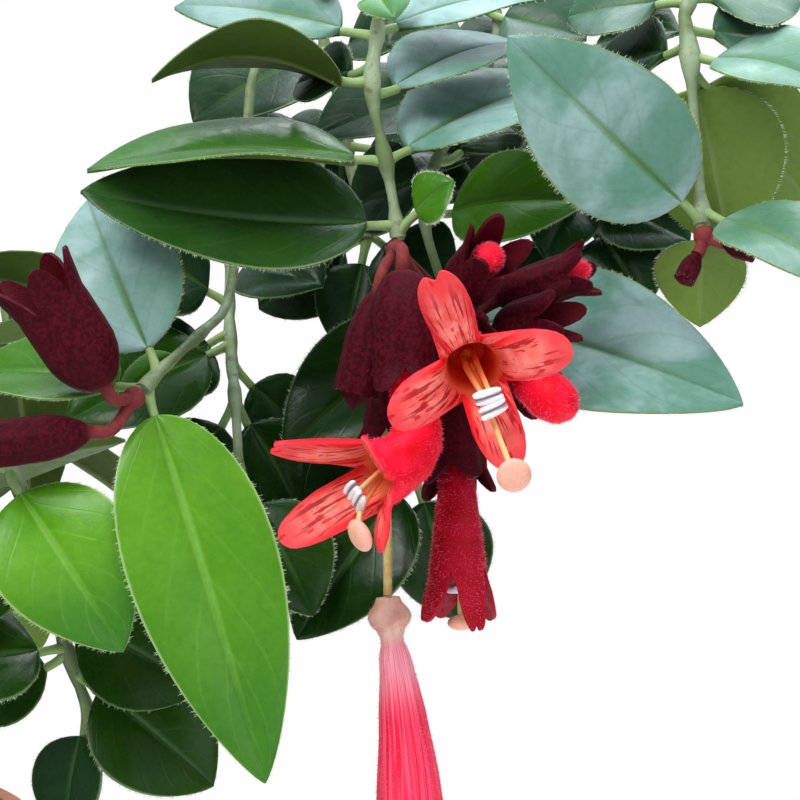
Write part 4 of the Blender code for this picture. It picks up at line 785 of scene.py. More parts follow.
def placed_leaf(space, owner, foot, way, size, tilt, arch):
    """The first turn of a leaf that touches nothing, or None."""
    outward = Vector((foot.x, foot.y, 0.0001)).normalized()
    for shrink in SHRINKS:
        for swing, lift in TURNS:
            aim = Quaternion(Vector((0, 0, 1)), math.radians(swing)) @ way
            level = aim.cross(Vector((0, 0, 1)))
            if level.length > 0.001:
                aim = Quaternion(level.normalized(), math.radians(lift)) @ aim
            face = (Vector((0, 0, 0.9)) + outward * (0.55 + tilt)).normalized()
            if abs(face.dot(aim)) > 0.85:
                face = (outward + Vector((0, 0, 0.2)) - aim).normalized()
            length = size * shrink
            leaf = Leaf(foot, foot + aim * length, length * LEAF_WIDTH_SHARE, face, arch, plain=True)
            corners = leaf_solid(leaf)[0]
            edges = [(a + b) / 2 for a, b in zip(corners, corners[4:])]
            if not in_clear_space(corners + edges) and space.free_for(owner, leaf):
                return leaf
    return None


def tip_cluster(name, tip, along, count, dice):
    """Calyces hanging outwards from a stem's tip, with an open flower, a bud and a closed calyx."""
    outward = Vector((tip.x, tip.y, 0)).normalized()
    across = Vector((-outward.y, outward.x, 0))
    knob = tip + along * 0.0023
    cups, flowers, stamens = [], [], []
    for i in range(count + 1):
        spin = (i - count / 2) * 0.95 + dice.uniform(-0.1, 0.1)
        drop = (-0.55, -0.05, -0.90)[i % 3]
        aim = (outward * 0.75 + across * math.sin(spin) * 1.2 + Vector((0, 0, drop))).normalized()
        foot = knob + aim * 0.010 + along * 0.002
        cups.append(Calyx(foot, foot + aim * (0.016, 0.015, 0.014)[i % 3], (0.0046, 0.0040, 0.0030)[i % 3],
                          0.004, i == count))
    aim = (cups[0].mouth - cups[0].foot).normalized()
    bend = cups[0].mouth + aim * 0.009
    end = bend + (aim * 0.7 + outward * 0.6 + Vector((0, 0, 0.25))).normalized() * 0.008
    flower = Corolla(f"corolla_{name}", [*in_cup(cups[0]), bend, end], Vector((0, 0, 1)), 0.0048,
                     (0.010, 0.010, 0.011, 0.010, 0.011), (26, 26, 76, 66, 76), plain=True)
    aim = (cups[1].mouth - cups[1].foot).normalized()
    bud = Corolla(f"bud_{name}", [*in_cup(cups[1]), cups[1].mouth + aim * 0.008], Vector((0, 0, 1)),
                  0.0027, bud=True)
    throat, (out, upward, _) = in_throat(flower, THROAT_FLOOR)
    stamens.append(Stamens(f"stamens_{name}", throat, throat[-1] + out * 0.0090 + upward * 0.0005,
                           throat[-1] + out * 0.0115 - upward * 0.0040))
    flowers += [flower, bud]
    return Cluster(f"calyces_{name}", knob, cups, flowers, stamens)


def calyx_solid(knob, calyx):
    return loft(calyx_rings(knob, calyx, 2, (0.06, 0.50)))


def corolla_solid(corolla):
    if corolla.bud:
        return loft(bud_rings(corolla, 8, (0.0, 0.4, 0.75, 1.0)))
    if corolla.fallen:
        return loft(corolla_rings(corolla, 3, (0.0, 0.05, 0.11, 0.2, 0.6, 1.0), (1.0,), (1.0, 0.7)))
    if corolla.plain:
        return loft(corolla_rings(corolla, 3, (0.0, 0.5, 1.0), (1.0,), (1.0, THROAT_FLOOR)))
    return loft(corolla_rings(corolla, 4, (0.0, 0.35, 0.7, 1.0), (0.4, 1.0), (1.0, THROAT_FLOOR)))


def cluster_solids(cluster):
    """The knob and calyces of a cluster."""
    first = cluster.calyces[0]
    knob = ball(cluster.knob, first.foot - cluster.knob, KNOB_RADIUS, KNOB_RADIUS, 6, 3)
    return [knob, *[calyx_solid(cluster.knob, calyx) for calyx in cluster.calyces]]


def hanging_style(cluster):
    """The style that a dropped corolla hangs on, out of the cluster's last calyx."""
    fallen = cluster.corollas[-1]
    start, mouth = in_cup(cluster.calyces[-1])
    end = fallen.route[0] - (fallen.route[1] - fallen.route[0]).normalized() * SEAT_GAP
    return through([start, mouth, mouth.lerp(end, 0.5), end], 0.008)


def flower_down(stamens):
    """The way a flower's lower lip points: from its mouth's axis to its stigma."""
    along = heading(stamens.route)
    down = stamens.stigma - stamens.route[-1]
    return (down - along * down.dot(along)).normalized()


def pot_profile():
    """Radius and height of the pot's section, from its foot up the outside and down the inside."""
    def outer(z):
        return POT_FOOT_RADIUS + (POT_TOP_RADIUS - POT_FOOT_RADIUS) * z / POT_HEIGHT

    low = POT_HEIGHT - RIM_HEIGHT
    rim = POT_TOP_RADIUS + RIM_PROUD
    return [(POT_FOOT_RADIUS - 0.0015, 0.0), (POT_FOOT_RADIUS, 0.0012), (outer(low), low),
            (rim - 0.0012, low + 0.0002), (rim - 0.0004, low + 0.0012), (rim, POT_HEIGHT - 0.0012),
            (rim - 0.0010, POT_HEIGHT), (POT_TOP_RADIUS - POT_WALL + 0.0008, POT_HEIGHT),
            (POT_TOP_RADIUS - POT_WALL, POT_HEIGHT - 0.0010), (outer(POT_FLOOR) - POT_WALL, POT_FLOOR)]


def lathe(profile, sides=30):
    """Corners and triangles of a solid turned round the z axis."""
    turns = [2 * math.pi * i / sides for i in range(sides)]
    return loft([[Vector((r * math.cos(a), r * math.sin(a), z)) for a in turns] for r, z in profile])


def inner_radius(z):
    """The pot's inner radius at a height."""
    return POT_FOOT_RADIUS + (POT_TOP_RADIUS - POT_FOOT_RADIUS) * z / POT_HEIGHT - POT_WALL


def cleared_leaves(shoot, space):
    """The front's leaves of a shoot that find a free place, a little before or behind their own."""
    kept, line = [], stem_line(shoot)[0]
    for leaf in shoot.leaves:
        leaf.foot = on_line(line, leaf.foot)
        tip = leaf.tip.copy()
        for further in TIP_SHIFTS:
            leaf.tip = tip + LOOK * (further / 1000)
            if space.free_for(shoot.name, leaf):
                kept.append(leaf)
                space.add_leaf(shoot.name, leaf)
                break
    return kept


def other_shoots(space, clusters, dice):
    """The bare stems all round the pot, each turned clear, with clusters at the tips of some."""
    others = []
    for number, (degrees, reach, peak, end, blooms) in enumerate(OTHER_STEMS, 1):
        start = 0.046 if reach > 0.1 else 0.016
        wobble = dice.uniform(-0.008, 0.008)
        for turn in STEM_TURNS:
            route = arching_route(degrees + turn, reach, peak, end, start, wobble)
            shoot = Shoot(f"shoot_{number:02d}", route)
            line, radii = stem_line(shoot)
            if not space.touched(shoot.name, tube(line, [r + LEAF_CLEARANCE for r in radii], 6), False):
                break
        space.add_stem(shoot)
        others.append(shoot)
        if blooms:
            cluster = tip_cluster(f"{number:02d}", line[-1], heading(line), blooms, dice)
            clusters.append(cluster)
            space.add_cluster(cluster)
    return others


def grow_leaves(shoot, space, dice):
    """Opposite leaves at a shoot's joints, where they find a free place."""
    nodes, line = through(shoot.route, NODE_SPACING), stem_line(shoot)[0]
    for i in range(2, len(nodes)):
        last = i == len(nodes) - 1
        along = (nodes[i] - nodes[i - 1]).normalized()
        foot = on_line(line, nodes[i] - along * (0.0015 if last else 0))
        for way, size, tilt, arch in leaf_ways(along, i, dice):
            length = LEAF_LENGTH * size * (0.70 if last else 1.0)
            leaf = placed_leaf(space, shoot.name, foot, way, length, tilt, arch)
            if leaf:
                shoot.leaves.append(leaf)
                space.add_leaf(shoot.name, leaf)


def plan_plant():
    """Every shoot and cluster, with the leaves turned clear of what was placed before."""
    shoots, space = front_shoots(), Space()
    clusters = front_clusters(shoots)
    space.add("pot", lathe([(r + 0.002 if i < 8 else r, z + (0.002 if i > 5 else 0))
                            for i, (r, z) in enumerate(pot_profile())]))
    for shoot in shoots:
        space.add_stem(shoot)
    for cluster in clusters:
        space.add_cluster(cluster)
    for shoot in shoots:
        shoot.leaves = cleared_leaves(shoot, space)
    dice = random.Random(24)
    others = other_shoots(space, clusters, dice)
    for shoot in others:
        grow_leaves(shoot, space, dice)
    return shoots + others, clusters


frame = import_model()

# Finer steps and small forms that only the looks have
FINE_ACROSS = (-1.0, -0.97, -0.88, -0.72, -0.52, -0.32, -0.16, -0.07, 0.0,
               0.07, 0.16, 0.32, 0.52, 0.72, 0.88, 0.97, 1.0)
ROUGH_ACROSS = (-1.0, -0.93, -0.65, -0.32, -0.10, 0.0, 0.10, 0.32, 0.65, 0.93, 1.0)
MARGIN_HALF = 0.00016
STYLE_RADIUS = 0.0007
LEAF_SHARP, POT_SHARP = math.radians(55), math.radians(35)
BITS_ON_SOIL = 420

# The waves of the soil's top, each by its fineness and its height
CRUMBS = ((260, 0.0009), (700, 0.0006), (60, 0.0008))

# A leaf's rows, the places across it, and its cilia, near the eye and elsewhere
FINE_LEAF = (26, FINE_ACROSS, 260)
ROUGH_LEAF = (14, ROUGH_ACROSS, 50)

# Lengths and radii of hairs, and how many a piece has near the eye and elsewhere
CILIUM_LENGTH, CILIUM_RADIUS = 0.00062, 0.000045
STEM_HAIR, STEM_HAIRS = (0.0004, 0.00003), (900, 250)
CUP_HAIR, CUP_HAIRS = (0.00046, 0.000028), (1500, 350)
PETAL_HAIR, PETAL_HAIRS = (0.00048, 0.00003), (3000, 500)

# The stage: the floor's radius, the camera's sensor in millimetres, and the width that it sees at the flowers
FLOOR_RADIUS = 0.45
SENSOR_WIDTH = 36
SEEN_WIDTH = 0.12

# Lights, each by its name, its place from the flowers, its size, its power and its colour
LIGHTS = (
    ("key", (-0.40, -0.55, 0.75), 0.50, 9.0, (1.0, 0.99, 0.96)),
    ("sky", (0.20, 0.35, 0.90), 0.90, 14.0, (0.88, 0.95, 1.0)),
    ("fill", (0.60, -0.60, 0.10), 0.60, 1.5, (1.0, 1.0, 1.0)))
GLOW_BELOW, GLOW_ASIDE, GLOW_ABOVE = (0.06, 0.06, 0.05, 1), (0.26, 0.27, 0.27, 1), (0.90, 1.00, 1.15, 1)


class Skin:
    """Corners and faces of one piece, with named values at each corner for its material."""

    def __init__(self):
        self.corners, self.faces, self.marks = [], [], {}

    def add(self, shape, **marks):
        corners, faces = shape
        start = len(self.corners)
        self.corners += corners
        self.faces += [tuple(start + i for i in face) for face in faces]
        for key, values in marks.items():
            kept = self.marks.setdefault(key, {})
            for i in range(len(corners)):
                kept[start + i] = values if isinstance(values, (int, float)) else values[i]

    def piece(self, name, paint, slot, *nodes):
        mesh = bpy.data.meshes.new(name)
        mesh.from_pydata(self.corners, [], self.faces)
        for key, kept in self.marks.items():
            mark = mesh.attributes.new(key, "FLOAT", "POINT")
            mark.data.foreach_set("value", [float(kept.get(i, 0.0)) for i in range(len(self.corners))])
        filled = bmesh.new()
        filled.from_mesh(mesh)
        bmesh.ops.recalc_face_normals(filled, faces=filled.faces)
        filled.to_mesh(mesh)
        filled.free()
        mesh.shade_smooth()
        mesh.set_sharp_from_angle(angle=LEAF_SHARP)
        mesh.materials.append(paint)
        made = bpy.data.objects.new(name, mesh)
        bpy.context.scene.collection.objects.link(made)
        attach(made, "root")
        if nodes:
            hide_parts(*nodes)
        return made


def stray(dice, spread):
    """A vector of three random numbers."""
    return Vector((dice.gauss(0, spread), dice.gauss(0, spread), dice.gauss(0, spread)))


def spike(foot, way, length, radius):
    """A three-sided hair."""
    across = way.cross(beside(way)).normalized() * radius
    over = way.cross(across).normalized() * radius
    corners = [foot + across, foot - across * 0.5 + over * 0.87, foot - across * 0.5 - over * 0.87,
               foot + way * length]
    return corners, [(0, 1, 3), (1, 2, 3), (2, 0, 3)]


def fuzz(skin, shape, picked, count, hair, lean, dice, **marks):
    """Short hairs, of a length and radius, on some faces of a shape, leaning by lean."""
    (corners, faces), (length, radius) = shape, hair
    chosen = [faces[i] for i in picked]
    areas = []
    for a, b, c in chosen:
        areas.append((corners[b] - corners[a]).cross(corners[c] - corners[a]).length)
    for a, b, c in dice.choices(chosen, areas, k=count):
        u, v = dice.random(), dice.random()
        if u + v > 1:
            u, v = 1 - u, 1 - v
        at = corners[a] + (corners[b] - corners[a]) * u + (corners[c] - corners[a]) * v
        out = (corners[b] - corners[a]).cross(corners[c] - corners[a])
        if out.length_squared == 0:
            continue
        way = (out.normalized() + lean + stray(dice, 0.25)).normalized()
        skin.add(spike(at, way, length * dice.uniform(0.6, 1.25), radius), hair=1.0, **marks)


def fine_leaf(skin, leaf, rows, across, cilia, young, bloom, dice):
    """A leaf blade with a grooved midrib, plump halves, a keel below, a thick margin and cilia."""
    along, normal, side, _, middle = leaf_frame(leaf)
    lift = math.sin(math.radians(leaf.fold))
    phase = dice.uniform(0, 6.28)

    def at(t, s, top):
        half = leaf.width / 2 * leaf_outline(t)
        edge = abs(s)
        rise = half * lift * edge ** 1.15 + half * 0.16 * edge * (1 - edge)
        rise += 0.035 * half * math.sin(8 * t + phase + 2 * s) * edge ** 2
        body = RIB_THICKNESS / 2 * (0.95 - 0.45 * t) * (1 - edge ** 2.4)
        body += MARGIN_HALF * min(1.0, half / 0.002)
        if top:
            rise += body - 0.00042 * math.exp(-(s / 0.055) ** 2) * (1 - t) ** 0.4 * min(1.0, half / 0.004)
        else:
            rise -= body + 0.00038 * math.exp(-(s / 0.06) ** 2) * (1 - t) ** 0.5 * min(1.0, half / 0.004)
        return middle(t) + side * (half * s) + normal * rise

    rings, marks = [], {"along": [], "across": [], "top": []}
    for i in range(rows + 1):
        t = 0.003 + 0.9955 * (0.5 - 0.5 * math.cos(math.pi * i / rows))
        ring = [at(t, s, True) for s in across] + [at(t, s, False) for s in reversed(across)]
        rings.append(ring)
        marks["along"] += [t] * len(ring)
        marks["across"] += [*across, *reversed(across)]
        marks["top"] += [1.0] * len(across) + [0.0] * len(across)
    # Marks for the material: the leaf's painted light level and its painted sky reflection
    skin.add(loft(rings), young=young, bloom=bloom, hair=0.0, **marks)
    for _ in range(cilia):
        t, hand = dice.uniform(0.02, 0.985), dice.choice((-1, 1))
        foot = at(t, hand, True).lerp(at(t, hand, False), 0.5)
        way = side * hand + normal * dice.uniform(-0.30, 0.45) + along * dice.uniform(-0.15, 0.45)
        size = CILIUM_LENGTH * dice.uniform(0.6, 1.25)
        skin.add(spike(foot - side * hand * 0.00005, way.normalized(), size, CILIUM_RADIUS),
                 along=t, across=float(hand), top=1.0, young=young, bloom=bloom, hair=1.0)


def fine_stem(skin, shoot, dice, hairs):
    """A smooth stem with swollen joints and short hairs, and the petioles of its leaves."""
    points = [shoot.route[0] - Vector((0, 0, STEM_HOLE_DEPTH)), shoot.route[0] - Vector((0, 0, 0.008)),
              *shoot.route]
    line = through(points, 0.0022)
    radii = [(STEM_FOOT_RADIUS + (STEM_TIP_RADIUS - STEM_FOOT_RADIUS) * i / (len(line) - 1)) * 0.80
             for i in range(len(line))]
    for leaf in shoot.leaves:
        for i, p in enumerate(line):
            radii[i] += 0.00035 * math.exp(-((p - leaf.foot).length / 0.0022) ** 2)
    shape = tube(line, radii, 12)
    skin.add(shape, hair=0.0, petiole=0.0)
    low = min(p.z for p in line)
    picked = [i for i, face in enumerate(shape[1]) if shape[0][face[0]].z > low + 0.024]
    fuzz(skin, shape, picked, hairs, STEM_HAIR, Vector(), dice, petiole=0.0)
    for leaf in shoot.leaves:
        near = min(line, key=lambda p: (p - leaf.foot).length)
        along, normal, _, blade_length, _ = leaf_frame(leaf)
        inner = leaf.foot + along * (PETIOLE_LENGTH + blade_length * 0.05)
        inner += normal * (leaf.arch * blade_length * 0.19 - 0.0003)
        route = through([near, leaf.foot.lerp(near, 0.3) + along * 0.001, leaf.foot + along * 0.0032, inner],
                        0.0011)
        sizes = [0.0010 - 0.0003 * min(1.0, 2.2 * i / (len(route) - 1)) for i in range(len(route))]
        skin.add(tube(route, sizes, 10, normal), hair=0.0, petiole=1.0)


def fine_calyx(skin, knob, calyx, dice, hairs):
    """A pedicel and a calyx with five round-tipped lobes, ribs and short hairs."""
    body = (0.03, 0.09, 0.18, 0.30, 0.43, 0.56, 0.69, 0.82, 0.92)
    aim, length, stalk, turned = calyx_frame(knob, calyx, body, 0.0008)
    sides = 40

    def ring(at, frame, size, peak=0.0, lean=0.0, rib=0.0):
        _, upward, across = frame
        points = []
        for i in range(sides):
            a = 2 * math.pi * i / sides
            rise = (0.5 - 0.5 * math.cos(5 * a)) ** 0.48
            out = size * (1 + rib * math.cos(5 * a) + rib * 0.5 * math.cos(10 * a)) + lean * rise
            points.append(at + (across * math.cos(a) + upward * math.sin(a)) * out + aim * peak * rise)
        return points

    rings, length_marks, inner = [], [], []

    def put(points, mark, inside=0.0):
        rings.append(points)
        length_marks.append(mark)
        inner.append(inside)

    for i, (p, f) in enumerate(zip(stalk, turned)):
        put(ring(p, f, 0.00090 + 0.00025 * (i / len(stalk)) ** 3), -1 + i / len(stalk))
    last = turned[-1]
    for s in body:
        swell = calyx.radius * (0.24 + 0.76 * math.sin(math.pi / 2 * min(1.0, s / 0.5)) ** 0.6)
        put(ring(calyx.foot + aim * (length * s), last, swell, rib=-0.03 - 0.03 * s), s)
    if calyx.shut:
        for s, share in ((0.90, 0.74), (0.97, 0.50), (1.03, 0.20), (1.06, 0.05)):
            put(ring(calyx.foot + aim * (length * s), last, calyx.radius * share, rib=-0.08), s)
    else:
        shares = (0.0, 0.3, 0.6, 0.85, 1.0)
        for inside, rows in ((0.0, shares), (1.0, shares[::-1])):
            for share in rows:
                size = calyx.radius - CUP_WALL * inside
                points = ring(calyx.mouth, last, size, calyx.lobe * share, 0.0012 * share, -0.04)
                put(points, 1 + share, inside)
        for s in (0.8, 0.55, CUP_FLOOR):
            inward = calyx.radius * (0.66 + 0.3 * (s - CUP_FLOOR)) - CUP_WALL
            put(ring(calyx.foot + aim * length * s, last, inward), s, 1.0)
    shape = loft(rings)
    marks = {"reach": [m for m in length_marks for _ in range(sides)],
             "inner": [m for m in inner for _ in range(sides)]}
    skin.add(shape, hair=0.0, **marks)
    outer_rows = sum(1 for m in inner if m == 0.0) - 1
    fuzz(skin, shape, range(outer_rows * sides * 2), hairs, CUP_HAIR, aim * 0.35, dice, reach=0.5,
         inner=0.0)


def fine_corolla(skin, corolla, dice, hairs):
    """A corolla with rounded, rippled lobes and hairs on its outside."""
    if corolla.bud:
        rows = [i / 16 for i in range(17)]
        shape = loft(bud_rings(corolla, 28, rows))
        skin.add(shape, hair=0.0, share=-1.0)
        fuzz(skin, shape, range(len(shape[1])), hairs // 2, PETAL_HAIR, heading(corolla.route) * 0.4, dice,
             share=-1.0)
        return
    per_lobe = 14
    if corolla.fallen:
        tube_rows = [0.0, 0.02, 0.04, 0.06, 0.08, 0.10, 0.12, 0.14, 0.17, 0.2, 0.25]
        tube_rows += [0.3 + 0.07 * i for i in range(11)]
    else:
        tube_rows = [i / 12 for i in range(13)]
    lobe_rows = [(i + 1) / 11 for i in range(11)]
    floor = 0.7 if corolla.fallen else THROAT_FLOOR
    depth_rows = [1.0 - (1.0 - floor) * i / 6 for i in range(7)]
    rings = corolla_rings(corolla, per_lobe, tube_rows, lobe_rows, depth_rows)
    angles = corolla_angles(per_lobe)
    spots = []
    for a in angles:
        lobe, off = lobe_at(a)
        spots.append((0, ((a + 180) % 360 - 180) / HOOD_HALF) if lobe < 2 else (lobe, off))
    kinds = [(s - 1, 0.0, 0.0) for s in tube_rows] + [(s, 0.0, 0.0) for s in lobe_rows]
    kinds += [(s, 1.0, 0.0) for s in reversed(lobe_rows)]
    kinds += [(0.0, 1.0, (1.0 - s) / (1.0 - floor)) for s in depth_rows]
    marks = {"off": [off for _, off in spots] * len(kinds), "lobe": [lobe for lobe, _ in spots] * len(kinds)}
    for i, key in enumerate(("share", "inside", "deep")):
        marks[key] = [kind[i] for kind in kinds for _ in spots]
    along = heading(corolla.route)
    for row, (share, _, _) in enumerate(kinds):
        if share <= 0:
            continue
        for i, (lobe, off) in enumerate(spots):
            wave = 0.00028 * share * math.sin(9 * off + 2.3 * lobe) * abs(off)
            rings[row][i] = rings[row][i] + along * wave
    shape = loft(rings)
    # Painted shade: the downward flower sits in shadow, so its colours are marked to be painted darker
    dark = 1.0 if corolla.name == "corolla_down" else 0.0
    skin.add(shape, hair=0.0, dark=dark, **marks)
    outer_rows = len(tube_rows) + len(lobe_rows) - 1
    fuzz(skin, shape, range(outer_rows * len(angles) * 2), hairs, PETAL_HAIR, along * 0.4, dice,
         share=-0.5, dark=dark)


def fine_stamens(skin, stamens, single):
    """Filaments, white anthers joined in pairs, a style and a round stigma."""
    root, mouth = stamens.route[0], stamens.route[-1]
    along = heading(stamens.route)
    down = flower_down(stamens)
    across = along.cross(down).normalized()
    skin.add(ball(root, along, 0.0010, 0.0010, 12, 5), kind=0.0, length=0.0)
    for hand in (-0.5, 0.5):
        spread = across * (0.0016 * hand)
        line = through([*[p + spread for p in stamens.route], stamens.anthers + spread * 0.6], 0.0009)
        shape = tube(line, [0.00048 - 0.00014 * i / len(line) for i in range(len(line))], 10)
        skin.add(shape, kind=0.0, length=[i // 10 / len(line) for i in range(len(shape[0]))])
    for step, tip in ((-0.9, 0.10), (1.1, -0.12)):
        middle = stamens.anthers + down * (0.0010 * step) - along * 0.0003
        lie = (across + down * tip).normalized()
        for hand in (-1, 1):
            centre = middle + down * (0.00052 * hand)
            rings = []
            for k in range(11):
                a = math.pi * (0.04 + 0.92 * k / 10)
                size = 0.00062 * math.sin(a) ** 0.55
                rings.append(turned_ring(centre - lie * (0.0021 * math.cos(a)), down, along, size, 12))
            shape = loft(rings)
            seam = [1.0 + max(0.0, 1 - abs((p - middle).dot(down)) / 0.0006) for p in shape[0]]
            skin.add(shape, kind=seam, length=1.0)
    style = through([*[p + down * 0.0006 for p in stamens.route],
                     mouth.lerp(stamens.stigma, 0.55) + along * 0.0016, stamens.stigma], 0.0009)
    shape = tube(style, [0.00042] * len(style), 10)
    skin.add(shape, kind=0.0, length=[i // 10 / len(style) for i in range(len(shape[0]))])
    skin.add(ball(stamens.stigma, along, 0.0021 if single else 0.0025, 0.0012, 28, 10), kind=3.0, length=1.0)


def give(tree, socket, value):
    """Link a value into a node's socket, or set it there."""
    if isinstance(value, bpy.types.NodeSocket):
        tree.links.new(value, socket)
    else:
        socket.default_value = (*value, 1) if isinstance(value, tuple) and len(value) == 3 else value


def new_node(tree, kind, *values, **named):
    """A node with its first sockets given in order and others by name."""
    node = tree.nodes.new("ShaderNode" + kind)
    for index, value in enumerate(values):
        give(tree, node.inputs[index], value)
    for name, value in named.items():
        give(tree, node.inputs[name], value)
    return node


class Paint:
    """A material built up from nodes."""

    def __init__(self, name, roughness, shine=0.5, velvet=None):
        self.made = bpy.data.materials.new(name)
        self.made.use_nodes = True
        self.tree = self.made.node_tree
        self.shader = self.tree.nodes["Principled BSDF"]
        self.put("Roughness", roughness)
        self.put("Specular IOR Level", shine)
        if velvet:
            for socket, value in zip(("Weight", "Roughness", "Tint"), velvet):
                self.put("Sheen " + socket, value)
        self.place = new_node(self.tree, "TexCoord").outputs["Object"]

    def put(self, socket, value):
        give(self.tree, self.shader.inputs[socket], value)

    def mark(self, name):
        node = new_node(self.tree, "Attribute")
        node.attribute_name = name
        return node.outputs["Fac"]

    def noise(self, scale, detail=3.0, place=None, warp=0.0):
        node = new_node(self.tree, "TexNoise", Scale=scale, Detail=detail, Distortion=warp,
                        Vector=place or self.place)
        return node.outputs["Fac"]

    def cells(self, scale, place=None):
        return new_node(self.tree, "TexVoronoi", Scale=scale, Vector=place or self.place).outputs["Distance"]

    def joined(self, x, y, z):
        return new_node(self.tree, "CombineXYZ", x, y, z).outputs[0]

    def maths(self, operation, a, b=0.0):
        node = new_node(self.tree, "Math", a, b)
        node.operation = operation
        return node.outputs[0]

    def times(self, a, b):
        return self.maths("MULTIPLY", a, b)

    def plus(self, a, b):
        return self.maths("ADD", a, b)

    def less(self, a, b):
        return self.maths("SUBTRACT", a, b)

    def span(self, value, low, high, to_low=0.0, to_high=1.0):
        """The smooth step of a value between two others, set between two levels."""
        node = new_node(self.tree, "MapRange", value, low, high, to_low, to_high)
        node.interpolation_type = "SMOOTHSTEP"
        return node.outputs[0]

    def mix(self, share, a, b, blend="MIX"):
        node = new_node(self.tree, "Mix")
        node.data_type = "RGBA"
        node.blend_type = blend
        for index, value in ((0, share), (6, a), (7, b)):
            give(self.tree, node.inputs[index], value)
        return node.outputs[2]

    def blotched(self, scale, detail, a, b, low=0.3, high=0.7):
        """Two colours in soft blotches."""
        return self.mix(self.span(self.noise(scale, detail), low, high), a, b)

    def bump(self, height, strength, depth):
        node = new_node(self.tree, "Bump", Strength=strength, Distance=depth, Height=height)
        self.put("Normal", node.outputs[0])


def leaf_paint():
    """Glossy faces with a pale groove, faint veins and a pale margin; dull olive undersides; white cilia.
    Painted light: bright green where lit and near-black green where shaded, young lit leaves painted darker
    to the tip as shade, and a painted blue grey sky reflection.
    """
    p = Paint("leaf", 0.4, 0.17)
    along, across, top = p.mark("along"), p.mark("across"), p.mark("top")
    young, bloom, hair = p.mark("young"), p.mark("bloom"), p.mark("hair")
    edge = p.maths("ABSOLUTE", across)
    cloud = p.noise(90, 4)
    fine = p.noise(900, 3)
    # Painted light: the leaf's light level runs from the near-black green of a shaded leaf (painted shade) to
    # the bright green of a lit young leaf
    green = p.mix(young, (0.004, 0.024, 0.002), (0.092, 0.310, 0.010))
    green = p.mix(p.span(cloud, 0.35, 0.7, 0.0, 0.5), green,
                  p.mix(young, (0.011, 0.052, 0.005), (0.16, 0.41, 0.02)))
    # Painted shade: lit young leaves darker towards the tip
    lower = p.times(p.span(along, 0.25, 0.95, 0.0, 0.75), young)
    green = p.mix(lower, green, (0.028, 0.135, 0.020))
    # Painted reflection: a pale blue grey sky reflection mixed into the leaf colour by its sheen mark
    sky_reflection = p.mix(p.span(p.noise(60, 5, warp=0.8), 0.38, 0.66), (0.150, 0.340, 0.265), (0.420, 0.610, 0.620))
    green = p.mix(p.times(bloom, 0.85), green, sky_reflection)
    slant = p.plus(p.times(along, 30.0), p.times(edge, -13.0))
    vein = p.span(p.maths("SINE", p.plus(slant, p.times(cloud, 2.0))), 0.90, 1.0, 0.0, 0.12)
    green = p.mix(p.times(vein, p.span(edge, 0.95, 0.6)), green,
                  p.mix(young, (0.035, 0.115, 0.03), (0.20, 0.46, 0.06)))
    rib = p.span(edge, 0.085, 0.02, 0.0, 1.0)
    rib = p.times(rib, p.span(along, 1.0, 0.1, 0.12, 0.85))
    green = p.mix(rib, green, p.mix(young, (0.07, 0.16, 0.05), (0.22, 0.48, 0.07)))
    rim = p.span(edge, 0.955, 0.995, 0.0, 0.85)
    green = p.mix(rim, green, p.mix(young, (0.15, 0.25, 0.10), (0.38, 0.55, 0.20)))
    under = p.mix(p.span(cloud, 0.3, 0.7), (0.030, 0.052, 0.006), (0.050, 0.085, 0.010))
    # Undersides of lit young leaves painted brighter, as painted light
    under = p.mix(p.span(young, 0.0, 0.7), under, (0.24, 0.40, 0.07))
    under = p.mix(p.span(edge, 0.09, 0.03, 0.0, 0.5), under, (0.23, 0.30, 0.10))
    both = p.mix(top, under, green)
    both = p.mix(p.span(fine, 0.3, 0.8, 0.0, 0.12), both, (0.0, 0.0, 0.0))
    p.put("Base Color", p.mix(hair, both, (0.62, 0.72, 0.55)))
    rough = p.span(p.noise(420, 3), 0.3, 0.7, 0.20, 0.34)
    rough = p.plus(rough, p.times(bloom, 0.14))
    rough = p.plus(rough, p.times(p.less(1.0, top), 0.25))
    p.put("Roughness", rough)
    height = p.plus(p.times(p.noise(1500, 2), 0.30), p.times(p.noise(260, 3), 0.9))
    p.bump(p.less(height, p.times(vein, 1.5)), 0.35, 0.00022)
    return p.made


def stem_paint():
    """Pale olive stems with brown flecks and paler petioles."""
    p = Paint("stem", 0.5, 0.3)
    fleck = p.noise(700, 4)
    tone = p.blotched(120, 3, (0.130, 0.190, 0.075), (0.33, 0.42, 0.26), 0.35)
    tone = p.mix(p.span(fleck, 0.56, 0.72, 0.0, 0.55), tone, (0.10, 0.055, 0.022))
    tone = p.mix(p.times(p.mark("petiole"), 0.75), tone, (0.26, 0.40, 0.13))
    p.put("Base Color", p.mix(p.mark("hair"), tone, (0.60, 0.62, 0.50)))
    p.put("Roughness", p.span(fleck, 0.3, 0.7, 0.42, 0.62))
    p.bump(p.noise(1300, 3), 0.4, 0.0002)
    return p.made


def calyx_paint():
    """Velvety maroon, redder on the pedicels and inside, with pale lilac hairs."""
    p = Paint("calyx", 0.6, 0.08, (0.05, 0.4, (0.75, 0.35, 0.45)))
    reach, inner = p.mark("reach"), p.mark("inner")
    tone = p.blotched(1500, 3, (0.036, 0.0010, 0.004), (0.085, 0.0035, 0.011), 0.35, 0.68)
    stalk = p.mix(p.noise(900, 3), (0.13, 0.018, 0.022), (0.30, 0.06, 0.055))
    tone = p.mix(p.span(reach, 0.10, -0.25), tone, stalk)
    tone = p.mix(p.times(inner, 0.8), tone, (0.070, 0.002, 0.006))
    hairs = p.mix(p.noise(800, 2), (0.24, 0.10, 0.14), (0.55, 0.36, 0.43))
    p.put("Base Color", p.mix(p.mark("hair"), tone, hairs))
    p.put("Roughness", p.span(p.noise(1500, 2), 0.3, 0.7, 0.5, 0.75))
    p.bump(p.noise(2600, 3), 0.5, 0.00022)
    return p.made


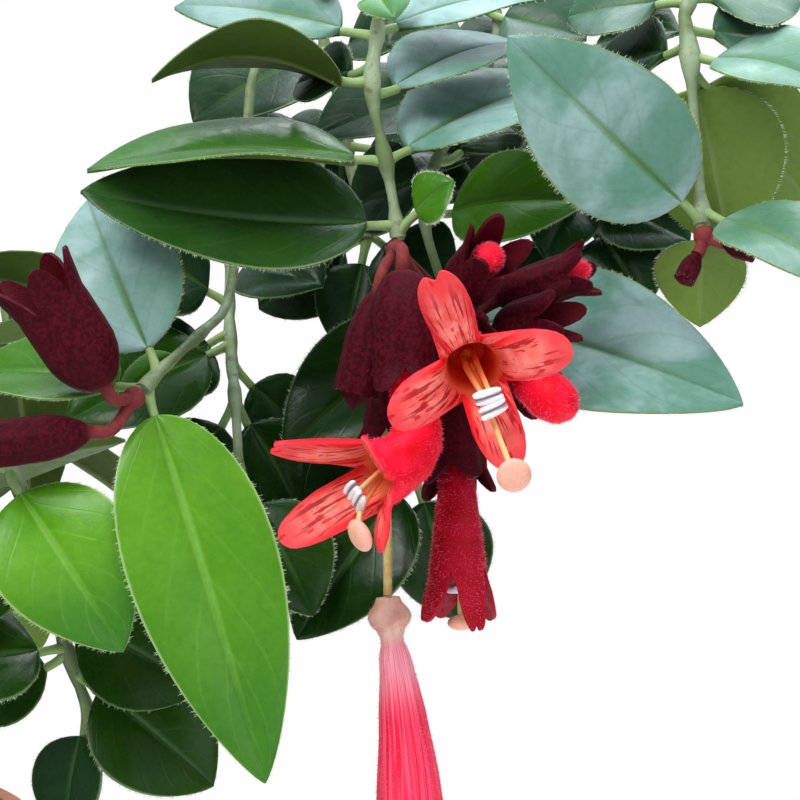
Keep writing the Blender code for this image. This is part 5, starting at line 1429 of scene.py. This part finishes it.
def petal_paint():
    """Scarlet outside; inside salmon lobes with dark red streaks and spots, and an orange throat; one flower
    painted darker as shade.
    """
    p = Paint("petal", 0.5, 0.12, (0.03, 0.45, (1.0, 0.3, 0.4)))
    share, inside, off, deep, lobe = (p.mark(n) for n in ("share", "inside", "off", "deep", "lobe"))
    edge = p.maths("ABSOLUTE", off)
    outside = p.blotched(260, 4, (0.78, 0.001, 0.014), (1.0, 0.008, 0.044))
    salmon = p.blotched(420, 3, (0.90, 0.110, 0.090), (1.0, 0.27, 0.22))
    salmon = p.mix(p.span(edge, 0.42, 0.86), salmon, (0.84, 0.014, 0.020))
    salmon = p.mix(p.span(share, 0.50, 1.0, 0.0, 0.85), salmon, (0.88, 0.038, 0.055))
    strip = p.joined(p.times(off, 4.2), p.times(share, 1.0), p.times(lobe, 3.1))
    streak = p.span(p.noise(1.9, 2, strip, 0.35), 0.545, 0.59)
    streak = p.times(streak, p.span(edge, 0.95, 0.75))
    streak = p.times(streak, p.span(share, 0.98, 0.70))
    salmon = p.mix(p.times(streak, 0.85), salmon, (0.32, 0.004, 0.012))
    dots = p.joined(p.times(off, 2.1), p.times(share, 2.9), p.times(lobe, 1.7))
    spot = p.span(p.cells(1.5, dots), 0.29, 0.21)
    spot = p.times(spot, p.span(p.noise(3, 1, dots), 0.44, 0.52))
    salmon = p.mix(p.times(spot, 0.8), salmon, (0.52, 0.008, 0.014))
    throat = p.mix(p.span(deep, 0.0, 0.55), (1.0, 0.23, 0.09), (0.85, 0.050, 0.015))
    salmon = p.mix(p.span(p.plus(deep, p.times(share, -0.6)), -0.10, 0.10), salmon, throat)
    tone = p.mix(inside, outside, salmon)
    # Painted shade: the marked flower's colours multiplied darker
    tone = p.mix(p.mark("dark"), tone, (0.42, 0.30, 0.50), "MULTIPLY")
    hairs = p.mix(p.noise(900, 2), (0.85, 0.05, 0.12), (1.0, 0.30, 0.42))
    p.put("Base Color", p.mix(p.mark("hair"), tone, hairs))
    p.put("Roughness", p.span(p.noise(900, 3), 0.3, 0.7, 0.38, 0.58))
    p.bump(p.plus(p.noise(2400, 3), p.times(p.noise(500, 2), 1.2)), 0.45, 0.00018)
    return p.made


def fallen_paint():
    """A dropped corolla: a peach brown bulb, pink streaks at the neck and crimson to its mouth."""
    p = Paint("petal_fallen", 0.5, 0.15, (0.03, 0.45, (1.0, 0.5, 0.55)))
    share, off, lobe = p.mark("share"), p.mark("off"), p.mark("lobe")
    streak = p.noise(2.2, 3, p.joined(p.times(off, 4.0), p.times(share, 1.2), p.times(lobe, 2.7)))
    red = p.mix(p.span(streak, 0.35, 0.65), (0.74, 0.006, 0.045), (0.96, 0.085, 0.17))
    pink = p.mix(p.span(streak, 0.4, 0.6), (0.86, 0.16, 0.24), (0.98, 0.46, 0.54))
    brown = p.blotched(400, 3, (0.66, 0.33, 0.26), (0.84, 0.52, 0.43))
    tone = p.mix(p.span(share, -0.80, -0.58), pink, red)
    tone = p.mix(p.span(share, -0.835, -0.885), tone, brown)
    p.put("Base Color", p.mix(p.times(p.mark("hair"), 0.5), tone, (0.95, 0.50, 0.50)))
    p.bump(p.plus(p.noise(2400, 3), p.times(streak, 2.0)), 0.45, 0.0002)
    return p.made


def stamen_paint():
    """Orange to greenish cream filaments, white and grey anthers, peach stigmas."""
    p = Paint("stamen", 0.5)
    kind, length = p.mark("kind"), p.mark("length")
    tone = p.mix(p.span(length, 0.55, 0.95), (0.90, 0.27, 0.07), (0.68, 0.60, 0.27))
    grain = p.noise(2500, 3)
    white = p.mix(grain, (0.80, 0.70, 0.77), (1.0, 0.93, 0.96))
    anther = p.mix(p.span(kind, 1.25, 1.9), white, (0.28, 0.22, 0.22))
    tone = p.mix(p.span(kind, 0.4, 0.9), tone, anther)
    stigma = p.mix(p.span(grain, 0.3, 0.7), (0.84, 0.38, 0.27), (0.93, 0.45, 0.34))
    p.put("Base Color", p.mix(p.span(kind, 2.2, 2.9), tone, stigma))
    p.put("Roughness", p.span(grain, 0.3, 0.7, 0.45, 0.7))
    p.bump(grain, 0.5, 0.0002)
    return p.made


def style_paint():
    """A waxy yellow-green style that browns downwards."""
    p = Paint("style", 0.45)
    tone = p.mix(p.span(p.mark("length"), 0.5, 1.0), (0.52, 0.55, 0.14), (0.50, 0.30, 0.12))
    p.put("Base Color", p.mix(p.span(p.noise(900, 3), 0.4, 0.75, 0.0, 0.4), tone, (0.72, 0.75, 0.36)))
    p.bump(p.noise(1600, 2), 0.3, 0.0001)
    return p.made


def pot_paint():
    """Moulded matt plastic in terracotta, a little dusty, with splashed soil marks."""
    p = Paint("pot_plastic", 0.5)
    tone = p.blotched(30, 5, (0.42, 0.155, 0.085), (0.52, 0.205, 0.12))
    tone = p.mix(p.span(p.noise(220, 5, warp=1.0), 0.60, 0.74, 0.0, 0.25), tone, (0.70, 0.50, 0.38))
    p.put("Base Color", p.mix(p.span(p.cells(320), 0.10, 0.04, 0.0, 0.35), tone, (0.16, 0.07, 0.04)))
    p.put("Roughness", p.span(p.noise(140, 4), 0.3, 0.7, 0.40, 0.60))
    p.bump(p.noise(2200, 2), 0.2, 0.00015)
    return p.made


def soil_paint():
    """Dark peat with brown bark and white perlite."""
    p = Paint("soil", 0.9)
    kind = p.mark("kind")
    peat = p.blotched(600, 5, (0.010, 0.006, 0.004), (0.060, 0.036, 0.022), 0.35)
    bark = p.blotched(900, 4, (0.055, 0.026, 0.014), (0.16, 0.080, 0.042))
    tone = p.mix(p.span(kind, 0.3, 0.7), peat, bark)
    p.put("Base Color", p.mix(p.span(kind, 1.3, 1.7), tone, (0.72, 0.70, 0.66)))
    p.bump(p.noise(1500, 4), 0.9, 0.0006)
    return p.made


def floor_paint():
    """A pale matt studio floor."""
    p = Paint("floor", 0.7, 0.2)
    p.put("Base Color", p.blotched(3, 3, (0.80, 0.80, 0.79), (0.84, 0.84, 0.83)))
    return p.made


def pebble(middle, size, flat, dice):
    """A small uneven lump."""
    turns, rings = 2 * math.pi / 7, []
    lean = stray(dice, 1).normalized()
    helper = lean.orthogonal().normalized()
    other = lean.cross(helper)
    for k in range(5):
        a = math.pi * (0.1 + 0.8 * k / 4)
        ring = []
        for j in range(7):
            r = size * math.sin(a) * dice.uniform(0.75, 1.2)
            ring.append(middle - lean * (math.cos(a) * size * flat)
                        + (helper * math.cos(turns * j) + other * math.sin(turns * j)) * r)
        rings.append(ring)
    return loft(rings)


def soil_piece(paint):
    """Crumbly soil round the stems, with bits of bark and perlite lying in it."""
    dice = random.Random(5)
    skin = Skin()
    low = POT_FLOOR + SEAT_GAP
    wide = inner_radius(SOIL_TOP - 0.0015) - SEAT_GAP
    ways = [Vector((math.cos(a), math.sin(a), 0)) for a in (math.pi * i / 60 for i in range(120))]
    rings = []
    for r, z in ((inner_radius(low) - SEAT_GAP, low), (wide, SOIL_TOP - 0.0020)):
        rings.append([way * r + Vector((0, 0, z)) for way in ways])
    for k in range(1, 26):
        ring = []
        for way in ways:
            p = way * (wide * (1 - k / 26) + 0.0006)
            rough = sum(noise.noise(p * scale) * height for scale, height in CRUMBS)
            ring.append(p + Vector((0, 0, SOIL_TOP - 0.0013 + min(0.0018, rough))))
        rings.append(ring)
    skin.add(loft(rings), kind=0.0)
    for _ in range(BITS_ON_SOIL):
        a, r = dice.uniform(0, 2 * math.pi), wide * math.sqrt(dice.random()) * 0.96
        at = Vector((r * math.cos(a), r * math.sin(a), SOIL_TOP - 0.0010))
        white = dice.random() < 0.16
        size = dice.uniform(0.0005, 0.0013)
        flat = 0.8 if white else dice.uniform(0.35, 1.3)
        skin.add(pebble(at, size, flat, dice), kind=2.0 if white else 1.0)
    return skin.piece("soil_crumbs", paint, "soil", "soil")


def pot_piece(paint):
    """The pot with round drain holes, turned finely."""
    profile = []
    rows = pot_profile()
    for (r1, z1), (r2, z2) in zip(rows, rows[1:]):
        steps = max(1, round(math.hypot(r2 - r1, z2 - z1) / 0.012))
        for i in range(steps):
            profile.append((r1 + (r2 - r1) * i / steps, z1 + (z2 - z1) * i / steps))
    profile.append(rows[-1])
    skin = Skin()
    skin.add(lathe(profile, 144))
    made = skin.piece("pot_turned", paint, "pot_plastic", "pot")
    cut = Skin()
    for k in range(DRAIN_COUNT):
        a = 2 * math.pi * (k + 0.5) / DRAIN_COUNT
        middle = Vector((DRAIN_RING * math.cos(a), DRAIN_RING * math.sin(a), 0))
        ends = [middle + Vector((0, 0, -0.002)), middle + Vector((0, 0, POT_FLOOR + 0.002))]
        cut.add(tube(ends, [DRAIN_RADIUS] * 2, 32))
    cutter = bpy.data.meshes.new("drains")
    cutter.from_pydata(cut.corners, [], cut.faces)
    helper = bpy.data.objects.new("drains", cutter)
    bpy.context.scene.collection.objects.link(helper)
    drill = made.modifiers.new("drains", "BOOLEAN")
    drill.operation = "DIFFERENCE"
    drill.object = helper
    drill.solver = "EXACT"
    whole = bpy.data.meshes.new_from_object(made.evaluated_get(bpy.context.evaluated_depsgraph_get()))
    made.modifiers.remove(drill)
    made.data = whole
    made.data.shade_smooth()
    made.data.set_sharp_from_angle(angle=POT_SHARP)
    bpy.data.objects.remove(helper)
    return made


def dress():
    """Every visible piece, in place of the plain solids."""
    shoots, clusters = plan_plant()
    leaf, stem, calyx, petal = leaf_paint(), stem_paint(), calyx_paint(), petal_paint()
    fallen, stamen, style = fallen_paint(), stamen_paint(), style_paint()
    dice = random.Random(7)
    for number, shoot in enumerate(shoots):
        front = number < len(FRONT_STEMS)
        leaves, stems = Skin(), Skin()
        for blade in shoot.leaves:
            # Leaves without listed tones get a random painted light level and painted sky reflection
            young, bloom = blade.tone or (dice.uniform(0.05, 0.5) ** 1.3, dice.uniform(0, 0.35))
            fine = front and "back" not in shoot.name and not blade.plain
            fine_leaf(leaves, blade, *(FINE_LEAF if fine else ROUGH_LEAF), young, bloom, dice)
        leaves.piece(shoot.name.replace("shoot", "leaves"), leaf, "leaf", shoot.name)
        fine_stem(stems, shoot, dice, STEM_HAIRS[0 if front else 1])
        stems.piece(shoot.name.replace("shoot", "stem"), stem, "stem", shoot.name)
    for cluster in clusters:
        near = 0 if cluster.name in ("calyces_main", "calyces_left", "calyces_right") else 1
        cups = Skin()
        first = cluster.calyces[0]
        shape = ball(cluster.knob, first.foot - cluster.knob, KNOB_RADIUS, KNOB_RADIUS, 16, 8)
        cups.add(shape, reach=-0.8, inner=0.0, hair=0.0)
        for cup in cluster.calyces:
            fine_calyx(cups, cluster.knob, cup, dice, CUP_HAIRS[near])
        cups.piece(cluster.name.replace("calyces", "cups"), calyx, "calyx", cluster.name)
        for flower in cluster.corollas:
            skin = Skin()
            fine_corolla(skin, flower, dice, PETAL_HAIRS[near])
            skin.piece(flower.name.replace("corolla", "flower").replace("bud", "closed"),
                       fallen if flower.fallen else petal, "petal", flower.name)
        for stamens in cluster.stamens:
            skin = Skin()
            fine_stamens(skin, stamens, stamens.name not in ("stamens_facing", "stamens_left"))
            skin.piece(stamens.name.replace("stamens", "anthers"), stamen, "stamen", stamens.name)
    line = through(hanging_style(clusters[0]), 0.001)
    skin = Skin()
    shape = tube(line, [STYLE_RADIUS] * len(line), 14)
    skin.add(shape, length=[i // 14 / len(line) for i in range(len(shape[0]))])
    skin.piece("style_bare", style, "style", "style_hanging")
    soil_piece(soil_paint())
    pot_piece(pot_paint())


def floor_piece():
    """A pale round floor."""
    turns = [math.pi * i / 90 for i in range(180)]
    edge = [Vector((FLOOR_RADIUS * math.cos(a), FLOOR_RADIUS * math.sin(a), 0)) for a in turns]
    sheet = bpy.data.meshes.new("floor")
    sheet.from_pydata(edge, [], [tuple(range(180))])
    sheet.materials.append(floor_paint())
    floor = bpy.data.objects.new("floor", sheet)
    bpy.context.scene.collection.objects.link(floor)


def studio_world():
    """A soft glow that is bright above and dim below, plain white where the camera sees it."""
    world = bpy.data.worlds.new("studio")
    bpy.context.scene.world = world
    world.use_nodes = True
    tree = world.node_tree
    way = new_node(tree, "TexCoord").outputs["Generated"]
    up = new_node(tree, "SeparateXYZ", way).outputs[2]
    height = new_node(tree, "Math", up, 0.5, 0.5)
    height.operation = "MULTIPLY_ADD"
    ramp = new_node(tree, "ValToRGB", height.outputs[0])
    steps = ramp.color_ramp.elements
    steps[0].color, steps[1].color = GLOW_BELOW, GLOW_ABOVE
    steps.new(0.5).color = GLOW_ASIDE
    glow = tree.nodes["Background"]
    give(tree, glow.inputs[0], ramp.outputs[0])
    white = new_node(tree, "Background", (1, 1, 1))
    direct = new_node(tree, "LightPath").outputs["Is Camera Ray"]
    either = new_node(tree, "MixShader", direct, glow.outputs[0], white.outputs[0])
    give(tree, tree.nodes["World Output"].inputs[0], either.outputs[0])


def studio_lights():
    """Soft lights, all turned to the flowers."""
    for name, place, size, power, colour in LIGHTS:
        light = bpy.data.lights.new(name, "AREA")
        light.size = size
        light.energy = power
        light.color = colour
        lamp = bpy.data.objects.new(name, light)
        lamp.location = FRONT_MIDDLE + Vector(place)
        lamp.rotation_euler = (-Vector(place)).to_track_quat("-Z", "Y").to_euler()
        bpy.context.scene.collection.objects.link(lamp)


def front_camera():
    """The camera at the photograph's viewing angle."""
    camera = bpy.data.objects.new("camera", bpy.data.cameras.new("camera"))
    camera.location = FRONT_MIDDLE - LOOK * FRONT_DISTANCE
    camera.rotation_euler = LOOK.to_track_quat("-Z", "Y").to_euler()
    camera.data.sensor_width = SENSOR_WIDTH
    camera.data.lens = SENSOR_WIDTH * FRONT_DISTANCE / SEEN_WIDTH
    camera.data.clip_start = 0.01
    camera.data.clip_end = 50
    bpy.context.scene.collection.objects.link(camera)
    bpy.context.scene.camera = camera
    bpy.context.scene.view_settings.view_transform = "Standard"


dress()
floor_piece()
studio_world()
studio_lights()
front_camera()
